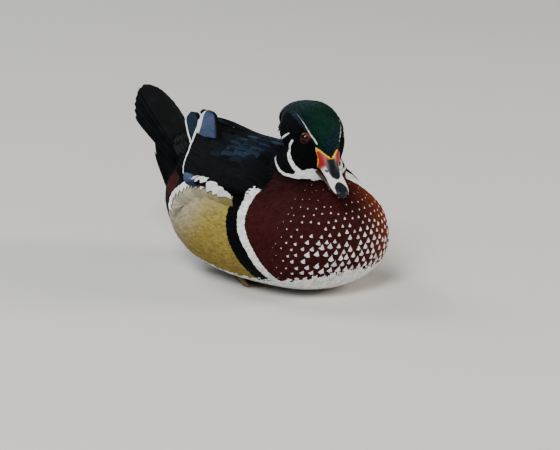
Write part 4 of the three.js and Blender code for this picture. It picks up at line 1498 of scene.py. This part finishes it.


# Barbs: fine lines that slant out from the shaft, as a height and a tone; the tone differs at random from
# feather to feather and holds painted shade, darker towards each root
def makeBarbs():
    group = bpy.data.node_groups.new("featherBarbs", "ShaderNodeTree")
    for name, value in (("Lines", 30.0), ("Slant", 6.0)):
        socket = group.interface.new_socket(name, in_out="INPUT", socket_type="NodeSocketFloat")
        socket.default_value = value
    for name in ("Height", "ToneAndShade"):
        group.interface.new_socket(name, in_out="OUTPUT", socket_type="NodeSocketFloat")
    given = group.nodes.new("NodeGroupInput").outputs
    results = group.nodes.new("NodeGroupOutput").inputs
    grid = split(group, attribute(group, "feather", "Vector"))
    outward = calculate(group, "ABSOLUTE", grid["X"])
    slanted = calculate(group, "MULTIPLY", outward, given["Slant"])
    lines = calculate(group, "MULTIPLY", grid["Y"], given["Lines"])
    phase = calculate(group, "SUBTRACT", lines, slanted)
    wave = calculate(group, "SINE", calculate(group, "MULTIPLY", phase, 6.283))
    shaft = ranged(group, outward, 0.0, 0.1, 1.0, 0.0)
    height = calculate(group, "ADD", calculate(group, "MULTIPLY", wave, 0.3), shaft)
    group.links.new(height, results["Height"])
    toneAndShade = calculate(group, "MULTIPLY", grid["Z"], 0.55)
    toneAndShade = calculate(group, "ADD", toneAndShade, calculate(group, "MULTIPLY", wave, 0.08))
    # painted shade: darker towards the feather's root, where the feather before it laps over
    toneAndShade = calculate(group, "ADD", toneAndShade, ranged(group, grid["Y"], 0.0, 0.8, 0.0, 0.4))
    group.links.new(toneAndShade, results["ToneAndShade"])
    return group


barbs = makeBarbs()


def addBarbs(tree, lines, slant):
    node = tree.nodes.new("ShaderNodeGroup")
    node.node_tree = barbs
    node.inputs["Lines"].default_value = lines
    node.inputs["Slant"].default_value = slant
    return node.outputs["Height"], node.outputs["ToneAndShade"]


def addBump(tree, shader, height, strength, distance):
    bump = tree.nodes.new("ShaderNodeBump")
    bump.inputs["Strength"].default_value = strength
    bump.inputs["Distance"].default_value = distance
    tree.links.new(height, bump.inputs["Height"])
    tree.links.new(bump.outputs["Normal"], shader.inputs["Normal"])


# A colour made darker or lighter by its feather's tone, which holds painted shade towards the root
def toned(tree, color, toneAndShade, darkest, brightest):
    shade = ranged(tree, toneAndShade, 0.05, 0.95, darkest, brightest)
    bright = tree.nodes.new("ShaderNodeCombineXYZ")
    for i in range(3):
        tree.links.new(shade, bright.inputs[i])
    return mixed(tree, color, bright.outputs[0], 1.0, "MULTIPLY")


colors = {
    "black": (0.0019, 0.0021, 0.0027),
    "white": (0.72, 0.74, 0.74),
    # painted shade: the white points of the breast dimmed to a purplish grey
    "breastPoint": (0.62, 0.60, 0.64),
    "chestnut": (0.030, 0.0062, 0.0060),
    "darkChestnut": (0.012, 0.0045, 0.005),
    # painted light: the chestnut as lit by the warm light, used on the bird's left side
    "litChestnut": (0.17, 0.030, 0.009),
    "buff": (0.25, 0.20, 0.048),
    "greyBuff": (0.34, 0.31, 0.23),
    "brown": (0.14, 0.075, 0.015),
    "maroon": (0.030, 0.006, 0.006),
    "green": (0.003, 0.019, 0.012),
    "violet": (0.011, 0.010, 0.042),
    "blue": (0.022, 0.052, 0.095),
    "slate": (0.06, 0.078, 0.15),
}


# The flank: pale grey above and behind, golden in front and below
def flankColor(tree):
    spot = split(tree, objectSpot(tree))
    low = calculate(tree, "MULTIPLY", spot["Z"], -0.8)
    uneven = calculate(tree, "MULTIPLY", noise(tree, 40, detail=2), 0.03)
    golden = calculate(tree, "ADD", calculate(tree, "ADD", spot["X"], low), uneven)
    buff = mixed(tree, colors["greyBuff"], colors["buff"], ranged(tree, golden, -0.075, -0.003))
    specks = ranged(tree, noise(tree, 1100, detail=2), 0.46, 0.58)
    lower = ranged(tree, spot["Z"], 0.068, 0.036, 0.05, 0.75)
    return mixed(tree, buff, colors["brown"], calculate(tree, "MULTIPLY", specks, lower))


# The white triangle at the tip of a breast feather, as large as the feather's spot attribute says
def breastTriangle(tree, grid):
    size = attribute(tree, "spot")
    apex = calculate(tree, "SUBTRACT", 0.98, calculate(tree, "MULTIPLY", size, 0.5))
    beyond = calculate(tree, "MULTIPLY", calculate(tree, "SUBTRACT", grid["Y"], apex), 2.1)
    inside = calculate(tree, "SUBTRACT", beyond, calculate(tree, "ABSOLUTE", grid["X"]))
    return calculate(tree, "MULTIPLY", ranged(tree, inside, -0.05, 0.05), ranged(tree, size, 0.02, 0.05))


# The plumage of the body and head, shared by the skin and the coat over it
def makePlumage(name, onCoat):
    material, tree, shader = newMaterial(name, 0.55)
    spot = split(tree, objectSpot(tree))
    # painted light: the chestnut is made brighter and rustier on the bird's left side, where the warm light
    # falls
    litSide = ranged(tree, spot["Y"], 0.005, 0.06)
    chestnut = mixed(tree, colors["chestnut"], colors["litChestnut"], calculate(tree, "MULTIPLY", litSide, 0.75))
    chestnut = mixed(tree, chestnut, colors["darkChestnut"], ranged(tree, spot["Z"], 0.085, 0.112, 0.0, 0.8))
    violet = ranged(tree, noise(tree, 28), 0.42, 0.66)
    # painted sheen: blue streaks over the back, partly the feathers' own iridescence
    paintedSheen = ranged(tree, noise(tree, 60, (0.25, 1, 1)), 0.45, 0.62)
    zonePaints = {
        "blue": mixed(tree, colors["black"], colors["blue"], paintedSheen),
        "green": mixed(tree, colors["green"], colors["violet"], violet),
        "chestnut": chestnut,
        "buff": flankColor(tree),
        "maroon": colors["maroon"],
        "white": colors["white"],
    }
    color = colors["black"]
    for zone, paint in zonePaints.items():
        color = mixed(tree, color, paint, ranged(tree, attribute(tree, zone), -0.3, 0.3))
    if onCoat:
        height, toneAndShade = addBarbs(tree, 7, 2.2)
        grid = split(tree, attribute(tree, "feather", "Vector"))
        # painted shade: the breast points' white is laid on in a shaded grey
        color = mixed(tree, color, colors["breastPoint"], breastTriangle(tree, grid))
        color = toned(tree, color, toneAndShade, 0.62, 1.25)
        addBump(tree, shader, height, 0.35, 0.0002)
    else:
        addBump(tree, shader, noise(tree, 45), 0.4, 0.001)
    tree.links.new(color, shader.inputs["Base Color"])
    onCrown = ranged(tree, attribute(tree, "green"), -0.3, 0.3)
    shader.inputs["Specular IOR Level"].default_value = 0.03
    tree.links.new(ranged(tree, onCrown, 0, 1, 0.6, 0.38), shader.inputs["Roughness"])
    tree.links.new(ranged(tree, onCrown, 0, 1, 0.0, 0.5), shader.inputs["Metallic"])
    return material


# Large wing feathers: black with slate blue, white outer edges and white tips, as each feather's kind says
def makeWingPaint():
    material, tree, shader = newMaterial("wingFeathers", 0.42)
    height, toneAndShade = addBarbs(tree, 60, 10)
    grid = split(tree, attribute(tree, "feather", "Vector"))
    kind = split(tree, attribute(tree, "kind", "Vector"))
    inner = ranged(tree, grid["X"], -0.75, -0.45)
    uneven = ranged(tree, noise(tree, 160), 0.35, 0.65, 0.55, 1.0)
    pale = calculate(tree, "MULTIPLY", uneven, ranged(tree, kind["X"], 0.85, 1.0, 0.12, 1.0))
    slate = mixed(tree, colors["blue"], colors["slate"], pale)
    amount = calculate(tree, "MULTIPLY", calculate(tree, "MULTIPLY", kind["X"], inner), 0.95)
    # on the coverts the slate blue and its streaks are painted sheen, partly their own iridescence; on the
    # other feathers they are their own colour
    streaksAndSheen = ranged(tree, noise(tree, 70, (0.3, 1, 1)), 0.36, 0.6, 0.25, 1.0)
    color = mixed(tree, colors["black"], slate, calculate(tree, "MULTIPLY", amount, streaksAndSheen))
    edge = ranged(tree, calculate(tree, "SUBTRACT", grid["X"], kind["Y"]), -0.04, 0.04)
    edge = calculate(tree, "MULTIPLY", edge, ranged(tree, kind["Y"], 0.02, 0.1))
    tipStart = calculate(tree, "SUBTRACT", 1.0, kind["Z"])
    tip = ranged(tree, calculate(tree, "SUBTRACT", grid["Y"], tipStart), -0.006, 0.006)
    tip = calculate(tree, "MULTIPLY", tip, ranged(tree, kind["Z"], 0.01, 0.02))
    color = mixed(tree, color, colors["white"], calculate(tree, "MAXIMUM", edge, tip))
    tree.links.new(toned(tree, color, toneAndShade, 0.6, 1.2), shader.inputs["Base Color"])
    tree.links.new(ranged(tree, toneAndShade, 0, 1, 0.52, 0.4), shader.inputs["Roughness"])
    shader.inputs["Specular IOR Level"].default_value = 0.02
    addBump(tree, shader, height, 0.4, 0.0003)
    return material


# Flank fringe: buff at the root, then a black line and a white tip
def makeFringePaint():
    material, tree, shader = newMaterial("fringeFeathers", 0.6)
    height, toneAndShade = addBarbs(tree, 40, 8)
    grid = split(tree, attribute(tree, "feather", "Vector"))
    kind = split(tree, attribute(tree, "kind", "Vector"))
    outward = calculate(tree, "ABSOLUTE", grid["X"])
    rounding = calculate(tree, "MULTIPLY", calculate(tree, "MULTIPLY", outward, outward), 0.09)
    beyond = calculate(tree, "SUBTRACT", calculate(tree, "ADD", grid["Y"], rounding), kind["X"])
    color = mixed(tree, flankColor(tree), colors["black"], ranged(tree, beyond, -0.062, -0.05))
    color = mixed(tree, color, colors["white"], ranged(tree, beyond, -0.005, 0.005))
    tree.links.new(toned(tree, color, toneAndShade, 0.75, 1.15), shader.inputs["Base Color"])
    addBump(tree, shader, height, 0.35, 0.0003)
    return material


# Feathers of two dark colours in patches, as on the tail and the crest
def makeDarkPaint(name, first, second, scale, roughness, metallic):
    material, tree, shader = newMaterial(name, roughness)
    height, toneAndShade = addBarbs(tree, 50, 12)
    color = mixed(tree, first, second, ranged(tree, noise(tree, scale), 0.42, 0.64))
    tree.links.new(toned(tree, color, toneAndShade, 0.6, 1.3), shader.inputs["Base Color"])
    shader.inputs["Metallic"].default_value = metallic
    shader.inputs["Specular IOR Level"].default_value = 0.1
    addBump(tree, shader, height, 0.4, 0.0003)
    return material


hornColors = {
    "white": (0.62, 0.60, 0.56),
    "palest": (0.74, 0.72, 0.70),
    "red": (0.27, 0.010, 0.012),
    "yellow": (0.72, 0.43, 0.006),
    "black": (0.002, 0.003, 0.005),
    "slate": (0.010, 0.013, 0.020),
}


def makeHornPaint():
    material, tree, shader = newMaterial("billHorn", 0.33)
    grain = noise(tree, 260, (0.4, 1, 1))
    color = mixed(tree, hornColors["white"], hornColors["palest"], grain)
    color = mixed(tree, color, hornColors["red"], attribute(tree, "red"))
    color = mixed(tree, color, hornColors["yellow"], attribute(tree, "yellow"))
    dark = mixed(tree, hornColors["black"], hornColors["slate"], grain)
    color = mixed(tree, color, dark, attribute(tree, "black"))
    shader.inputs["Specular IOR Level"].default_value = 0.22
    tree.links.new(color, shader.inputs["Base Color"])
    tree.links.new(ranged(tree, grain, 0.3, 0.7, 0.28, 0.42), shader.inputs["Roughness"])
    addBump(tree, shader, grain, 0.25, 0.0003)
    return material


# Skin or horn of two close colours, with a fine grain
def makeGrainPaint(name, first, second, scale, roughness, depth):
    material, tree, shader = newMaterial(name, roughness)
    grain = noise(tree, scale)
    color = mixed(tree, first, second, ranged(tree, grain, 0.35, 0.65))
    uneven = ranged(tree, grain, 0.3, 0.7, roughness * 0.8, roughness * 1.2)
    tree.links.new(color, shader.inputs["Base Color"])
    tree.links.new(uneven, shader.inputs["Roughness"])
    addBump(tree, shader, grain, 0.4, depth)
    return material


# Where the iris starts and ends are millimetres from the middle of the pupil
iris = {
    "pupil": (0.001, 0.001, 0.001),
    "starts": (3.3, 3.6),
    "dark": (0.02, 0.002, 0.001),
    "light": (0.07, 0.005, 0.003),
    "ends": (4.2, 5.0),
    "rim": (0.01, 0.002, 0.001),
}


def makeIrisPaint():
    material, tree, shader = newMaterial("iris", 0.08)
    away = attribute(tree, "fromPupil")
    color = mixed(tree, iris["dark"], iris["light"], noise(tree, 900))
    color = mixed(tree, iris["pupil"], color, ranged(tree, away, *iris["starts"]))
    color = mixed(tree, color, iris["rim"], ranged(tree, away, *iris["ends"]))
    tree.links.new(color, shader.inputs["Base Color"])
    shader.inputs["Specular IOR Level"].default_value = 0.2
    shader.inputs["Coat Weight"].default_value = 0.12
    shader.inputs["Coat Roughness"].default_value = 0.03
    return material


def makeFloorPaint():
    material, tree, shader = newMaterial("paleFloor", 0.7)
    color = mixed(tree, (0.62, 0.61, 0.59), (0.65, 0.64, 0.62), noise(tree, 6))
    tree.links.new(color, shader.inputs["Base Color"])
    return material


# two colours, the scale of their patches, the roughness, and the metallic share or the grain's depth
darkPaints = {
    "tailFeathers": [(0.003, 0.0035, 0.004), (0.004, 0.007, 0.008), 60, 0.5, 0.0],
    "crestFeathers": [colors["green"], colors["violet"], 40, 0.36, 0.45],
}
grainPaints = {
    "lowerHorn": [(0.010, 0.011, 0.012), (0.05, 0.014, 0.012), 120, 0.4, 0.0002],
    "lidSkin": [(0.09, 0.005, 0.004), (0.16, 0.011, 0.008), 500, 0.6, 0.0003],
    "footSkin": [(0.24, 0.17, 0.05), (0.10, 0.08, 0.05), 420, 0.6, 0.0006],
}
feet = [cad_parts[name] for name in ("foot_right", "foot_left", "shank_right", "shank_left")]
painted = [
    (makePlumage("plumage", True), [*coatPieces.values(), breastPoints]),
    (makePlumage("skinPlumage", False), [skin]),
    (makeWingPaint(), [rightWing, leftWing]),
    (makeFringePaint(), [rightFringe, leftFringe]),
    (makeDarkPaint("tailFeathers", *darkPaints["tailFeathers"]), [tailFan]),
    (makeDarkPaint("crestFeathers", *darkPaints["crestFeathers"]), [crestLocks]),
    (makeHornPaint(), [upperBill]),
    (makeGrainPaint("lowerHorn", *grainPaints["lowerHorn"]), [lowerBill]),
    (makeIrisPaint(), eyes),
    (makeGrainPaint("lidSkin", *grainPaints["lidSkin"]), lids),
    (makeGrainPaint("footSkin", *grainPaints["footSkin"]), feet),
    (makeFloorPaint(), [floor]),
]
for material, pieces in painted:
    for piece in pieces:
        piece.data.materials.clear()
        piece.data.materials.append(material)
chosen(skin)
bpy.ops.object.shade_smooth()
print("materials set")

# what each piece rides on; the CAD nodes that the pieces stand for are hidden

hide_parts("torso", "breast", "rump", "neck", "head")
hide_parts("undertail", "uppertail")
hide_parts("wing_right")
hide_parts("wing_left")
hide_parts("tail")
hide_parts("crest")
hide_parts("bill_upper")
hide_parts("bill_lower")
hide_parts("eye_right")
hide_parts("eye_left")
slots = {
    "head_plumage": [coatPieces["head"], coatPieces["face"], crestLocks],
    "breast_plumage": [coatPieces["breast"], coatPieces["neck"], breastPoints],
    "flank_plumage": [
        coatPieces["flankRight"],
        coatPieces["flankLeft"],
        coatPieces["belly"],
        rightFringe,
        leftFringe,
        skin,
    ],
    "wing_plumage": [rightWing, leftWing, coatPieces["back"]],
    "black_plumage": [tailFan, coatPieces["rump"]],
    "bill_horn": [upperBill, lowerBill],
    "eye": [*eyes, *lids],
}
for slot, pieces in slots.items():
    for piece in pieces:
        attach(piece, "root")
